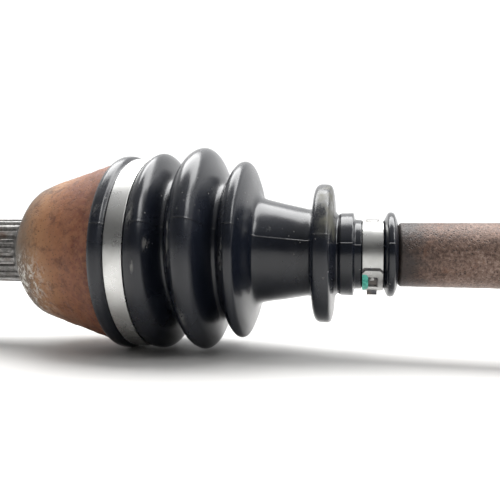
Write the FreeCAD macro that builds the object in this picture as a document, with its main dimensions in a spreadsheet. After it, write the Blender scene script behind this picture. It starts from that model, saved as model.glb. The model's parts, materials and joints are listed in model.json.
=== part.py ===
"""Complete front-wheel-drive cv axle: a fixed ball joint at the wheel end, a bar, and a
sliding tripod joint at the gearbox end, each under its own clamped rubber boot.

Frame: origin on the axle's axis at the shoulder of the wheel-side bell, +X along the
axle to the gearbox, +Z up. Millimetres and degrees."""
import FreeCAD, Part
import math
import os
import Sketcher

Vector = FreeCAD.Vector
Rotation = FreeCAD.Rotation
Placement = FreeCAD.Placement

X_AXIS = Vector(1, 0, 0)
TURN_Z_TO_X = Rotation(Vector(0, 1, 0), 90)

doc = FreeCAD.newDocument("cv_axle")

# ---------------------------------------------------------------- driving dimensions

DIMENSIONS = [
    # stub and outside of the wheel-side bell
    ("spline_radius", 12.5, "wheel stub spline, tip radius"),
    ("spline_root_radius", 11.4, "wheel stub spline, root radius"),
    ("spline_length", 31.0, "wheel stub spline, length from the shoulder"),
    ("spline_teeth", 22, "wheel stub spline, teeth"),
    ("thread_radius", 9.95, "axle nut thread, major radius"),
    ("thread_root_radius", 8.9, "run-out groove between thread and spline"),
    ("thread_end", 54.0, "thread end, distance from the shoulder"),
    ("nose_radius", 14.6, "flat bearing shoulder, outer radius"),
    ("dome_reach", 9.0, "dome, length from the shoulder"),
    ("dome_radius", 25.7, "dome, radius where the cone starts"),
    ("cone_end", 39.6, "cone, end distance"),
    ("cone_radius", 34.7, "cone, radius at its end"),
    ("seat_radius", 32.2, "boot seat on the bell"),
    ("bell_mouth", 54.0, "bell, open end distance"),
    # ball joint
    ("ball_joint_at", 37.0, "ball joint centre"),
    ("ball_radius", 7.144, "ball, 9/16 inch"),
    ("ball_circle_radius", 21.0, "balls, radius of their circle"),
    ("ball_count", 6, "balls"),
    ("track_radius", 8.0, "ball track, groove radius"),
    ("track_offset", 0.8, "ball track centres, offset along the axis"),
    ("track_half_sweep", 55.0, "ball track, half of its arc in degrees"),
    ("bell_sphere_radius", 23.4, "spherical bore of the bell"),
    ("mouth_inner_radius", 30.3, "mouth chamfer, largest radius"),
    ("mouth_chamfer_start", 8.5, "mouth chamfer, start past the joint centre"),
    ("mouth_chamfer_radius", 21.8, "mouth chamfer, smallest radius"),
    ("cage_outer_radius", 23.2, "cage, outer sphere"),
    ("cage_inner_radius", 19.2, "cage, inner sphere"),
    ("cage_width", 21.0, "cage, width along the axis"),
    ("window_radius", 7.25, "cage window, half width"),
    ("window_stretch", 1.6, "cage window, half of its straight length"),
    ("race_radius", 19.0, "inner race, outer sphere"),
    ("race_width", 18.0, "inner race, width along the axis"),
    # bar
    ("bar_radius", 11.0, "bar between the boots"),
    ("neck_radius", 9.6, "bar inside the boots and under their cuffs"),
    ("bar_spline_radius", 10.4, "bar end spline, tip radius"),
    ("bar_spline_root", 9.6, "bar end spline, root radius"),
    ("bar_spline_teeth", 24, "bar end spline, teeth"),
    ("spline_gap", 0.06, "play between a spline and its bore"),
    ("bar_overhang", 4.0, "bar end beyond the race or the spider"),
    ("clip_groove_radius", 9.3, "circlip grooves in the bar"),
    ("clip_outer_radius", 11.6, "circlips on the bar"),
    ("clip_width", 1.6, "circlips on the bar"),
    ("neck_end", 139.6, "wheel-side neck, end distance"),
    ("far_neck_start", 352.4, "gearbox-side neck, start distance"),
    # wheel-side boot
    ("boot_wall", 2.0, "boot wall"),
    ("boot_start", 40.2, "wheel-side boot, first edge"),
    ("lip_radius", 36.3, "wheel-side boot, large lip"),
    ("band_seat_radius", 34.5, "wheel-side boot, seat of the large clamp"),
    ("band_start", 44.4, "large clamp, start distance"),
    ("band_width", 7.0, "both sizes of clamp, width"),
    ("band_thickness", 0.8, "clamp strip"),
    ("rib_one_at", 55.0, "first rib"), ("rib_one_radius", 36.3, "first rib"),
    ("valley_one_at", 62.0, "first valley"), ("valley_one_radius", 27.6, "first valley"),
    ("rib_two_at", 71.2, "second rib"), ("rib_two_radius", 37.1, "second rib"),
    ("valley_two_at", 79.8, "second valley"), ("valley_two_radius", 25.8, "second valley"),
    ("rib_three_at", 85.5, "third rib"), ("rib_three_radius", 32.1, "third rib"),
    ("boot_cone_start", 90.6, "smooth cone, start"), ("boot_cone_radius", 19.4, "smooth cone"),
    ("boot_cone_end", 109.2, "smooth cone, end"), ("boot_cone_tip", 15.5, "smooth cone, end"),
    ("disc_at", 114.1, "round disc rib"), ("disc_radius", 24.7, "round disc rib"),
    ("disc_half_width", 4.2, "round disc rib, half width at its foot"),
    ("collar_start", 119.6, "collar"), ("collar_end", 124.6, "collar"),
    ("collar_radius", 14.65, "collar"),
    ("small_band_start", 127.4, "small clamp, start distance"),
    ("small_seat_radius", 11.7, "boot, seat of the small clamp"),
    ("small_band_thickness", 0.65, "small clamp strip"),
    ("end_lip_at", 137.4, "small end lip"), ("end_lip_radius", 14.9, "small end lip"),
    ("boot_end", 139.3, "wheel-side boot, last edge"),
    ("cuff_bore", 9.75, "boot bore on the bar"),
    ("cuff_gap", 0.15, "play between a boot and a joint housing"),
    # clamp closures
    ("ear_height", 4.2, "pinched ear, height over the strip"),
    ("ear_half_width", 5.0, "pinched ear, half width"),
    ("buckle_rise", 0.7, "buckle layer over the strip"),
    ("buckle_sweep", 53.0, "buckle, arc in degrees"),
    ("window_sweep", 20.0, "buckle window, arc in degrees"),
    ("hook_rise", 1.5, "buckle hook, height over the strip"),
    # tripod joint
    ("tripod_at", 470.0, "tripod joint centre"),
    ("trunnion_radius", 7.5, "trunnion"),
    ("roller_circle_radius", 16.8, "roller centres, radius of their circle"),
    ("roller_radius", 12.5, "roller, outer sphere"),
    ("roller_width", 10.0, "roller, width along its trunnion"),
    ("needle_radius", 0.8, "needle"),
    ("needle_count", 28, "needles on a trunnion"),
    ("needle_length", 7.4, "needle"),
    ("needle_gap", 0.04, "play on each side of a needle"),
    ("trunnion_tip", 25.0, "trunnion, end radius from the axle's axis"),
    ("washer_thickness", 0.8, "needle retaining washer"),
    ("ring_thickness", 1.0, "roller retaining ring"),
    ("hub_radius", 12.4, "spider hub"),
    ("hub_width", 16.0, "spider hub, width along the axis"),
    # gearbox-side housing
    ("housing_mouth", 438.0, "housing, open end distance"),
    ("housing_floor", 502.0, "housing, inner end of the tracks"),
    ("housing_back", 509.0, "housing, outer end of the lobes"),
    ("housing_track_radius", 13.2, "roller track, bore radius"),
    ("housing_bore_radius", 19.8, "middle of the housing, bore radius"),
    ("housing_chamfer_radius", 23.8, "housing mouth, chamfer radius"),
    ("housing_chamfer_length", 14.0, "housing mouth, chamfer length"),
    ("lobe_radius", 16.6, "housing lobes, outer radius about their own centres"),
    ("housing_core_radius", 27.5, "housing between the lobes, outer radius"),
    ("journal_radius", 15.0, "oil seal journal"),
    ("journal_end", 524.0, "oil seal journal, end distance"),
    ("far_spline_radius", 12.0, "gearbox spline, tip radius"),
    ("far_spline_root", 11.0, "gearbox spline, root radius"),
    ("far_relief_radius", 10.7, "gearbox spline, relief groove at its start"),
    ("far_spline_teeth", 25, "gearbox spline, teeth"),
    ("far_end", 560.0, "gearbox stub, end distance"),
    ("stub_clip_at", 554.0, "gearbox stub circlip, distance"),
    ("stub_clip_wire", 1.0, "gearbox stub circlip, wire radius"),
    ("stop_ring_at", 440.6, "roller stop ring, distance"),
    ("stop_ring_radius", 23.3, "roller stop ring, middle radius"),
    ("stop_ring_wire", 0.8, "roller stop ring, wire radius"),
    ("bushing_radius", 34.1, "three-lobed bushing, outer radius"),
    ("bushing_length", 13.0, "three-lobed bushing, length"),
    ("bushing_gap", 0.08, "play between the bushing and the housing"),
    # gearbox-side boot
    ("far_boot_start", 352.8, "gearbox-side boot, first edge"),
    ("far_small_band_start", 357.4, "gearbox-side small clamp, start distance"),
    ("far_collar_end", 373.0, "gearbox-side boot, end of its collar"),
    ("far_rib_first", 380.0, "gearbox-side boot, smallest rib"),
    ("far_rib_first_radius", 21.5, "gearbox-side boot, smallest rib"),
    ("far_rib_last", 430.4, "gearbox-side boot, largest rib"),
    ("far_rib_last_radius", 36.2, "gearbox-side boot, largest rib"),
    ("far_rib_depth", 6.4, "gearbox-side boot, depth of its valleys"),
    ("far_cuff_start", 437.0, "gearbox-side boot, start of its cuff"),
    ("far_band_start", 440.4, "gearbox-side large clamp, start distance"),
    ("far_seat_radius", 35.3, "gearbox-side boot, seat of the large clamp"),
    ("far_lip_radius", 36.2, "gearbox-side boot, large lip"),
    ("far_boot_end", 452.0, "gearbox-side boot, last edge"),
]
FAR_RIBS = 5

sheet = doc.addObject("Spreadsheet::Sheet", "dims")
for row, (alias, size, note) in enumerate(DIMENSIONS, start=1):
    sheet.set(f"A{row}", note)
    sheet.set(f"B{row}", str(size))
    sheet.setAlias(f"B{row}", alias)
doc.recompute()

ALIASES = sorted((entry[0] for entry in DIMENSIONS), key=len, reverse=True)


def size_of(formula):
    """The number that a formula of sheet names stands for."""
    return float(sheet.evalExpression(str(formula)))


def bound(formula):
    """The same formula written so that another object can be bound to it."""
    words, word = [], ""
    for letter in str(formula) + " ":
        if letter.isalnum() or letter == "_":
            word += letter
            continue
        words.append("dims." + word if word in ALIASES else word)
        words.append(letter)
        word = ""
    return "".join(words).strip()


# ---------------------------------------------------------------- building helpers

def bind(item, **formulas):
    """Bind properties of an object to formulas of sheet names."""
    for name, formula in formulas.items():
        item.setExpression(name, bound(formula))
    return item


def origin_feature(body, role):
    """An origin plane or axis of a body."""
    return next(item for item in body.Origin.OriginFeatures if item.Role == role)


def outline_sketch(body, name, plane, corners, distance=None):
    """A closed polygon with every corner bound to the sheet.

    Corners are pairs of formulas. The plane can stand a bound distance along its normal."""
    sketch = body.newObject("Sketcher::SketchObject", name)
    sketch.AttachmentSupport = (origin_feature(body, plane), [""])
    sketch.MapMode = "FlatFace"
    if distance is not None:
        sketch.setExpression("AttachmentOffset.Base.z", bound(distance))
    places = [Vector(size_of(across), size_of(up), 0) for across, up in corners]
    count = len(corners)
    for index in range(count):
        side = Part.LineSegment(places[index], places[(index + 1) % count])
        sketch.addGeometry(side, False)
    for index in range(count):
        sketch.addConstraint(Sketcher.Constraint("Coincident", index, 2, (index + 1) % count, 1))
    for index, (across, up) in enumerate(corners):
        for kind, formula, value in (("DistanceX", across, places[index].x),
                                     ("DistanceY", up, places[index].y)):
            number = sketch.addConstraint(Sketcher.Constraint(kind, -1, 1, index, 1, value))
            sketch.setExpression(f"Constraints[{number}]", bound(formula))
    return sketch


def turned(name, corners):
    """A body turned about the axle's axis from corners given as distance and radius."""
    body = doc.addObject("PartDesign::Body", name)
    sketch = outline_sketch(body, name + "_section", "XZ_Plane", corners)
    turn = body.newObject("PartDesign::Revolution", name + "_turn")
    turn.Profile = sketch
    turn.ReferenceAxis = (sketch, ["H_Axis"])
    turn.Angle = 360
    body.Tip = turn
    doc.recompute()
    return body


def cut_teeth(body, teeth, corners, start, length):
    """Pocket one tooth space along +X and repeat it round the axis."""
    name = f"{body.Name}_space_{len(body.Group)}"
    before = body.Shape.Volume
    space = outline_sketch(body, name, "YZ_Plane", corners, start)
    pocket = body.newObject("PartDesign::Pocket", name + "_cut")
    pocket.Profile = space
    pocket.Reversed = True
    bind(pocket, Length=length)
    body.Tip = pocket
    pattern = body.newObject("PartDesign::PolarPattern", name + "_ring")
    pattern.Originals = [pocket]
    pattern.Axis = (origin_feature(body, "X_Axis"), [""])
    pattern.Angle = 360
    pattern.setExpression("Occurrences", bound(teeth))
    body.Tip = pattern
    doc.recompute()
    if not body.Shape.Volume < before - 1.0:
        raise RuntimeError(f"{body.Name}: the tooth spaces cut nothing")


def outer_space(tip, root, teeth):
    """A tooth space of an outside spline, open past the tips."""
    foot = f"{root} * sin(55 / {teeth})"
    mouth = f"{tip} * sin(95 / {teeth})"
    return [(f"0 - {foot}", root), (f"0 - {mouth}", f"{tip} + 0.3"),
            (mouth, f"{tip} + 0.3"), (foot, root)]


def inner_space(tip, root, teeth):
    """A groove of a splined bore, wider than the tooth that it takes."""
    mouth = f"({tip} * sin(92 / {teeth}) + spline_gap)"
    foot = f"({root} * sin(144 / {teeth}) + spline_gap)"
    return [(f"0 - {foot}", f"{root} - 0.5"), (f"0 - {mouth}", f"{tip} + spline_gap"),
            (mouth, f"{tip} + spline_gap"), (foot, f"{root} - 0.5")]


def made(kind, name, place=None, **formulas):
    """A Part primitive with its sizes bound to the sheet."""
    item = bind(doc.addObject("Part::" + kind, name), **formulas)
    if place is not None:
        item.Placement = place
    return item


def along_x(name, radius, start, length, offset=None):
    """A cylinder along +X; the offset is its axis as distances along Y and Z."""
    item = made("Cylinder", name, Placement(Vector(), TURN_Z_TO_X), Radius=radius, Height=length)
    item.setExpression("Placement.Base.x", bound(start))
    if offset is not None:
        item.Placement.Base.y, item.Placement.Base.z = offset
    return item


def fused(name, pieces):
    item = doc.addObject("Part::MultiFuse", name)
    item.Shapes = pieces
    return item


def cut(name, base, tool):
    item = doc.addObject("Part::Cut", name)
    item.Base = base
    item.Tool = tool
    return item


def common(name, pieces):
    item = doc.addObject("Part::MultiCommon", name)
    item.Shapes = pieces
    return item


def grouped(name, pieces):
    item = doc.addObject("Part::Compound", name)
    item.Links = pieces
    return item


def round_axis(radius, angle):
    """The point at a radius and an angle from +Y towards +Z."""
    return radius * math.cos(math.radians(angle)), radius * math.sin(math.radians(angle))


# A bore's grooves stand half a pitch from the spaces of the bar's spline.
HALF_TOOTH_TURN = Placement(Vector(), Rotation(X_AXIS, 180 / size_of("bar_spline_teeth")))

nodes = {}


def keep(name, item):
    """Keep an object as a sub-part under its own name."""
    item.Label = name
    nodes[name] = item


# ---------------------------------------------------------------- ball joint

def ball_tracks(name, centre, circle_radius):
    """Six curved grooves, each an arc of a torus in a plane through the axle's axis."""
    half = math.radians(size_of("track_half_sweep"))
    tracks = []
    for index in range(int(size_of("ball_count"))):
        angle = math.radians(360 * index / size_of("ball_count"))
        outward = Vector(0, math.cos(angle), math.sin(angle))
        first = outward * math.cos(half) - X_AXIS * math.sin(half)
        onward = X_AXIS * math.cos(half) + outward * math.sin(half)
        turn = Rotation(first, onward, first.cross(onward), "XYZ")
        track = made("Torus", f"{name}_{index}", Placement(Vector(), turn),
                     Radius1=circle_radius, Radius2="track_radius", Angle3="2 * track_half_sweep")
        track.setExpression("Placement.Base.x", bound(centre))
        tracks.append(track)
    return tracks


def ball_sphere(name, radius):
    item = made("Sphere", name, Radius=radius)
    item.setExpression("Placement.Base.x", bound("ball_joint_at"))
    return item


TRACK_CIRCLE = "sqrt(ball_circle_radius ^ 2 + track_offset ^ 2)"


def make_bell():
    """Outer race and wheel stub: one forging."""
    blank = turned("bell_blank", [
        ("0 - thread_end", "0"),
        ("0 - thread_end", "thread_radius - 1.4"),
        ("1.4 - thread_end", "thread_radius"),
        ("0 - spline_length - 2.6", "thread_radius"),
        ("0 - spline_length - 2.2", "thread_root_radius"),
        ("0 - spline_length - 1.2", "thread_root_radius"),
        ("0 - spline_length", "spline_radius"),
        ("0", "spline_radius"),
        ("0", "nose_radius"),
        ("dome_reach * 0.11", "nose_radius + 1.8"),
        ("dome_reach * 0.38", "dome_radius - 5.4"),
        ("dome_reach * 0.66", "dome_radius - 2.2"),
        ("dome_reach", "dome_radius"),
        ("cone_end - 0.8", "cone_radius"),
        ("cone_end", "cone_radius - 0.6"),
        ("cone_end", "seat_radius"),
        ("bell_mouth", "seat_radius"),
        ("bell_mouth", "0"),
    ])
    cut_teeth(blank, "spline_teeth", outer_space("spline_radius", "spline_root_radius",
              "spline_teeth"), "0 - spline_length - 0.4", "spline_length + 0.4")
    bore = ball_sphere("bell_bore", "bell_sphere_radius")
    chamfer = made("Cone", "bell_chamfer", Placement(Vector(), TURN_Z_TO_X),
                   Radius1="mouth_chamfer_radius",
                   Radius2="2 * mouth_inner_radius - mouth_chamfer_radius",
                   Height="2 * (bell_mouth - ball_joint_at - mouth_chamfer_start)")
    chamfer.setExpression("Placement.Base.x", bound("ball_joint_at + mouth_chamfer_start"))
    tracks = ball_tracks("bell_track", "ball_joint_at + track_offset", TRACK_CIRCLE)
    keep("outboard_bell", cut("bell_solid", blank, fused("bell_hollow", [bore, chamfer] + tracks)))


def make_cage():
    """Spherical cage with one window for each ball."""
    shell = cut("cage_shell", ball_sphere("cage_outside", "cage_outer_radius"),
                ball_sphere("cage_inside", "cage_inner_radius"))
    slab = along_x("cage_slab", "cage_outer_radius + 1", "ball_joint_at - cage_width / 2",
                   "cage_width")
    windows = []
    for index in range(int(size_of("ball_count"))):
        angle = 360 * index / size_of("ball_count")
        outward = Rotation(X_AXIS, angle) * Vector(0, 1, 0)
        sideways = X_AXIS.cross(outward)
        turn = Rotation(X_AXIS, sideways, outward, "XYZ")
        shift = sideways * size_of("window_stretch")
        ends = []
        for side in (-1, 1):
            end = made("Cylinder", f"window_end_{index}_{side + 1}", Placement(shift * side, turn),
                       Radius="window_radius", Height="cage_outer_radius + 2")
            end.setExpression("Placement.Base.x", bound("ball_joint_at"))
            ends.append(end)
        corner = X_AXIS * -size_of("window_radius") - shift
        straight = made("Box", f"window_middle_{index}", Placement(corner, turn),
                        Length="2 * window_radius", Width="2 * window_stretch",
                        Height="cage_outer_radius + 2")
        straight.setExpression("Placement.Base.x", bound("ball_joint_at - window_radius"))
        windows += ends + [straight]
    ring = common("cage_ring", [shell, slab])
    keep("outboard_cage", cut("cage_solid", ring, fused("cage_windows", windows)))


def make_inner_race():
    """Inner race: a ball slice with six tracks and a splined bore."""
    blank = turned("race_blank", [
        ("ball_joint_at - race_width / 2", "bar_spline_root + spline_gap"),
        ("ball_joint_at - race_width / 2", "race_radius + 1"),
        ("ball_joint_at + race_width / 2", "race_radius + 1"),
        ("ball_joint_at + race_width / 2", "bar_spline_root + spline_gap"),
    ])
    cut_teeth(blank, "bar_spline_teeth", inner_space("bar_spline_radius", "bar_spline_root",
              "bar_spline_teeth"), "ball_joint_at - race_width / 2 - 1", "race_width + 2")
    blank.Placement = HALF_TOOTH_TURN
    ball = ball_sphere("race_ball", "race_radius")
    tracks = ball_tracks("race_track", "ball_joint_at - track_offset", TRACK_CIRCLE)
    slice_of_ball = common("race_slice", [blank, ball])
    keep("outboard_inner_race", cut("race_solid", slice_of_ball, fused("race_tracks", tracks)))


def make_balls():
    for index in range(int(size_of("ball_count"))):
        ball = ball_sphere(f"ball_solid_{index + 1}", "ball_radius")
        place = round_axis(size_of("ball_circle_radius"), 360 * index / size_of("ball_count"))
        ball.Placement.Base.y, ball.Placement.Base.z = place
        keep(f"outboard_ball_{index + 1}", ball)


# ---------------------------------------------------------------- bar and its circlips

def make_bar():
    """Bar with a splined end, a clip groove and a neck on each side."""
    first = "(ball_joint_at - race_width / 2)"
    last = "(tripod_at + hub_width / 2)"
    bar = turned("bar_blank", [
        (f"{first} - bar_overhang", "0"),
        (f"{first} - bar_overhang", "bar_spline_radius - 1"),
        (f"{first} - bar_overhang + 1", "bar_spline_radius"),
        (f"{first} - clip_width - 0.2", "bar_spline_radius"),
        (f"{first} - clip_width - 0.2", "clip_groove_radius"),
        (f"{first}", "clip_groove_radius"),
        (f"{first}", "bar_spline_radius"),
        ("ball_joint_at + race_width / 2", "bar_spline_radius"),
        ("ball_joint_at + race_width / 2 + 1", "neck_radius"),
        ("neck_end", "neck_radius"),
        ("neck_end + 1.2", "bar_radius"),
        ("far_neck_start - 1.2", "bar_radius"),
        ("far_neck_start", "neck_radius"),
        ("tripod_at - hub_width / 2 - 1", "neck_radius"),
        ("tripod_at - hub_width / 2", "bar_spline_radius"),
        (f"{last}", "bar_spline_radius"),
        (f"{last}", "clip_groove_radius"),
        (f"{last} + clip_width + 0.2", "clip_groove_radius"),
        (f"{last} + clip_width + 0.2", "bar_spline_radius"),
        (f"{last} + bar_overhang - 1", "bar_spline_radius"),
        (f"{last} + bar_overhang", "bar_spline_radius - 1"),
        (f"{last} + bar_overhang", "0"),
    ])
    space = outer_space("bar_spline_radius", "bar_spline_root", "bar_spline_teeth")
    cut_teeth(bar, "bar_spline_teeth", space, f"{first} - bar_overhang - 1",
              "race_width + bar_overhang + 2")
    cut_teeth(bar, "bar_spline_teeth", space, "tripod_at - hub_width / 2 - 1",
              "hub_width + bar_overhang + 2")
    keep("shaft_bar", bar)


def make_bar_clip(name, start):
    """Open circlip that lies in a groove of the bar against the race or the spider."""
    ring = turned(name + "_ring", [
        (start, "clip_groove_radius + 0.05"), (start, "clip_outer_radius"),
        (f"{start} + clip_width", "clip_outer_radius"),
        (f"{start} + clip_width", "clip_groove_radius + 0.05"),
    ])
    gap = made("Box", name + "_gap", Length="clip_width + 2", Width="3", Height="15")
    gap.setExpression("Placement.Base.x", bound(f"{start} - 1"))
    gap.setExpression("Placement.Base.y", "-1.5")
    keep(name, cut(name + "_solid", ring, gap))


# ---------------------------------------------------------------- boots

def rib_run(places):
    """Outside corners of a run of ribs and valleys, each a narrow flat with chamfers."""
    corners = []
    for at, radius, flat in places:
        corners += [(f"{at} - {flat}", radius), (f"{at} + {flat}", radius)]
    return corners


def make_wheel_boot():
    """Wheel-side boot: cuff, three ribs, smooth cone, disc rib, collar, small cuff and lip."""
    outside = [
        ("boot_start", "lip_radius - 0.8"),
        ("boot_start + 0.8", "lip_radius"),
        ("boot_start + 2.8", "lip_radius"),
        ("band_start - 0.2", "band_seat_radius"),
        ("band_start + band_width + 0.2", "band_seat_radius"),
    ] + [
        ("rib_one_at - 2", "rib_one_radius - 0.5"),
        ("rib_one_at", "rib_one_radius"),
        ("rib_one_at + 2", "rib_one_radius - 0.5"),
        ("rib_one_at + 3.6", "rib_one_radius - 2.4"),
        ("valley_one_at - 1.2", "valley_one_radius"),
        ("valley_one_at + 1", "valley_one_radius"),
        ("rib_two_at - 6.2", "rib_two_radius - 3.6"),
        ("rib_two_at - 2.4", "rib_two_radius - 0.5"),
        ("rib_two_at", "rib_two_radius"),
        ("rib_two_at + 1.8", "rib_two_radius - 0.6"),
        ("rib_two_at + 4", "rib_two_radius - 3.2"),
        ("valley_two_at - 1.2", "valley_two_radius"),
        ("valley_two_at + 1", "valley_two_radius"),
        ("rib_three_at - 3", "rib_three_radius - 2"),
        ("rib_three_at - 1.2", "rib_three_radius - 0.4"),
        ("rib_three_at", "rib_three_radius"),
        ("rib_three_at + 1.4", "rib_three_radius - 1.2"),
        ("boot_cone_start - 1", "boot_cone_radius + 2"),
        ("boot_cone_start + 0.8", "boot_cone_radius"),
        ("boot_cone_end", "boot_cone_tip"),
        ("disc_at - disc_half_width + 0.6", "boot_cone_tip + 1"),
        ("disc_at - 2", "disc_radius - 2"),
        ("disc_at - 0.7", "disc_radius"),
        ("disc_at + 0.7", "disc_radius"),
        ("disc_at + 2", "disc_radius - 2"),
        ("disc_at + disc_half_width", "collar_radius - 0.6"),
        ("collar_start", "collar_radius - 0.6"),
        ("collar_start + 0.6", "collar_radius"),
        ("collar_end", "collar_radius"),
        ("collar_end + 0.5", "small_seat_radius + 0.5"),
        ("small_band_start - 0.2", "small_seat_radius"),
        ("small_band_start + band_width + 0.2", "small_seat_radius"),
        ("end_lip_at - 1", "end_lip_radius - 0.3"),
        ("end_lip_at", "end_lip_radius"),
        ("end_lip_at + 0.8", "end_lip_radius - 1"),
        ("boot_end", "small_seat_radius"),
    ]
    inside = [
        ("boot_end", "cuff_bore"),
        ("disc_at + 2.2", "cuff_bore"),
        ("disc_at + 0.3", "disc_radius - 3"),
        ("disc_at - 0.3", "disc_radius - 3"),
        ("disc_at - 3", "boot_cone_tip - boot_wall"),
        ("boot_cone_start - 1", "boot_cone_radius - boot_wall"),
        ("rib_three_at + 0.3", "rib_three_radius - boot_wall"),
        ("rib_three_at - 0.8", "rib_three_radius - boot_wall"),
        ("valley_two_at + 2", "valley_two_radius - boot_wall"),
        ("valley_two_at - 2.2", "valley_two_radius - boot_wall"),
        ("rib_two_at + 1", "rib_two_radius - boot_wall - 1"),
        ("rib_two_at - 2.2", "rib_two_radius - boot_wall - 0.7"),
        ("rib_two_at - 4.6", "rib_two_radius - boot_wall - 3"),
        ("valley_one_at + 2", "valley_one_radius - boot_wall"),
        ("valley_one_at - 2.2", "valley_one_radius - boot_wall"),
        ("rib_one_at + 1", "rib_one_radius - boot_wall - 0.6"),
        ("bell_mouth + 0.4", "seat_radius + cuff_gap"),
        ("boot_start", "seat_radius + cuff_gap"),
    ]
    keep("outboard_boot", turned("wheel_boot", outside + inside))


def make_gearbox_boot():
    """Gearbox-side boot: small cuff, five ribs that grow towards the housing, large cuff."""
    step_at = f"((far_rib_last - far_rib_first) / {FAR_RIBS - 1})"
    step_radius = f"((far_rib_last_radius - far_rib_first_radius) / {FAR_RIBS - 1})"
    outside = [
        ("far_boot_start", "small_seat_radius"),
        ("far_boot_start + 0.9", "end_lip_radius - 0.5"),
        ("far_boot_start + 2.2", "end_lip_radius - 0.5"),
        ("far_small_band_start - 0.2", "small_seat_radius"),
        ("far_small_band_start + band_width + 0.2", "small_seat_radius"),
        ("far_small_band_start + band_width + 2.4", "collar_radius"),
        ("far_collar_end", "collar_radius"),
    ]
    inside = [
        ("far_collar_end + 1", "cuff_bore"),
        ("far_boot_start", "cuff_bore"),
    ]
    for index in range(FAR_RIBS):
        at = f"far_rib_first + {index} * {step_at}"
        crest = f"far_rib_first_radius + {index} * {step_radius}"
        outside += [(f"{at} - 2.6", f"{crest} - 1.6"), (f"{at} - 1", crest),
                    (f"{at} + 1", crest), (f"{at} + 2.4", f"{crest} - 1.8")]
        inside[0:0] = [(f"{at} + 0.6", f"{crest} - boot_wall"),
                       (f"{at} - 0.6", f"{crest} - boot_wall")]
        if index < FAR_RIBS - 1:
            low = f"{at} + {step_at} / 2"
            dip = f"{crest} + {step_radius} / 2 - far_rib_depth"
            outside += [(f"{low} - 0.6", dip), (f"{low} + 1", dip)]
            inside[0:0] = [(f"{low} + 1.4", f"{dip} - boot_wall"),
                           (f"{low} - 1", f"{dip} - boot_wall")]
    outside += [
        ("far_cuff_start - 2", "far_seat_radius - 4"),
        ("far_cuff_start", "far_seat_radius - 3"),
        ("far_cuff_start + 0.6", "far_lip_radius - 0.5"),
        ("far_cuff_start + 1", "far_lip_radius"),
        ("far_band_start - 1", "far_lip_radius"),
        ("far_band_start - 0.2", "far_seat_radius"),
        ("far_band_start + band_width + 0.2", "far_seat_radius"),
        ("far_band_start + band_width + 1", "far_lip_radius"),
        ("far_boot_end - 0.6", "far_lip_radius"),
        ("far_boot_end", "far_lip_radius - 0.6"),
    ]
    inside[0:0] = [
        ("far_boot_end", "bushing_radius + cuff_gap"),
        ("far_cuff_start + 0.8", "bushing_radius + cuff_gap"),
        ("far_cuff_start", "far_seat_radius - 3 - boot_wall"),
        ("far_cuff_start - 2", "far_seat_radius - 4 - boot_wall"),
    ]
    keep("inboard_boot", turned("gearbox_boot", outside + inside))


# ---------------------------------------------------------------- clamps

def strip_ring(name, start, inner, thickness):
    """The plain strip of a clamp."""
    return turned(name, [
        (start, inner), (start, f"{inner} + {thickness}"),
        (f"{start} + band_width", f"{inner} + {thickness}"),
        (f"{start} + band_width", inner),
    ])


def make_ear_clamp(name, start, seat, angle):
    """Large clamp closed with one pinched ear at an angle from +Y towards +Z."""
    inner = f"({seat} + 0.08)"
    outer = f"({inner} + band_thickness)"
    strip = strip_ring(name + "_strip", start, inner, "band_thickness")
    ear = doc.addObject("PartDesign::Body", name + "_ear")
    wide, narrow = "ear_half_width", "ear_half_width - 1.6"
    sketch = outline_sketch(ear, name + "_ear_outline", "YZ_Plane", [
        (f"{outer} - 1.2", f"0 - {wide}"), (f"{outer} + 1.4", f"0 - ({narrow})"),
        (f"{outer} + ear_height - 0.8", f"0 - ({wide} - 0.6)"),
        (f"{outer} + ear_height", f"0 - ({narrow})"),
        (f"{outer} + ear_height", narrow), (f"{outer} + ear_height - 0.8", f"{wide} - 0.6"),
        (f"{outer} + 1.4", narrow), (f"{outer} - 1.2", wide),
        (f"{outer} - 0.3", f"{wide} - 1.2"), (f"{outer} + 1.6", f"{narrow} - 1"),
        (f"{outer} + ear_height - 1", f"{narrow} - 0.6"),
        (f"{outer} + ear_height - 1", f"0 - ({narrow} - 0.6)"),
        (f"{outer} + 1.6", f"0 - ({narrow} - 1)"), (f"{outer} - 0.3", f"0 - ({wide} - 1.2)"),
    ], start)
    pad = ear.newObject("PartDesign::Pad", name + "_ear_pad")
    pad.Profile = sketch
    bind(pad, Length="band_width")
    ear.Tip = pad
    ear.Placement = Placement(Vector(), Rotation(X_AXIS, angle))
    core = along_x(name + "_core", inner, f"{start} - 1", "band_width + 2")
    outside_core = cut(name + "_ear_trimmed", ear, core)
    keep(name, fused(name + "_solid", [strip, outside_core]))


def sector(name, start, length, inner, outer, first_angle, sweep):
    """Part of a ring along +X, swept from an angle that is counted from -Z towards +Y."""
    place = Placement(Vector(), Rotation(X_AXIS, first_angle) * TURN_Z_TO_X)
    whole = made("Cylinder", name + "_whole", place, Radius=outer, Height=length, Angle=sweep)
    whole.setExpression("Placement.Base.x", bound(start))
    return cut(name, whole, along_x(name + "_core", inner, f"{start} - 1", f"{length} + 2"))


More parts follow.
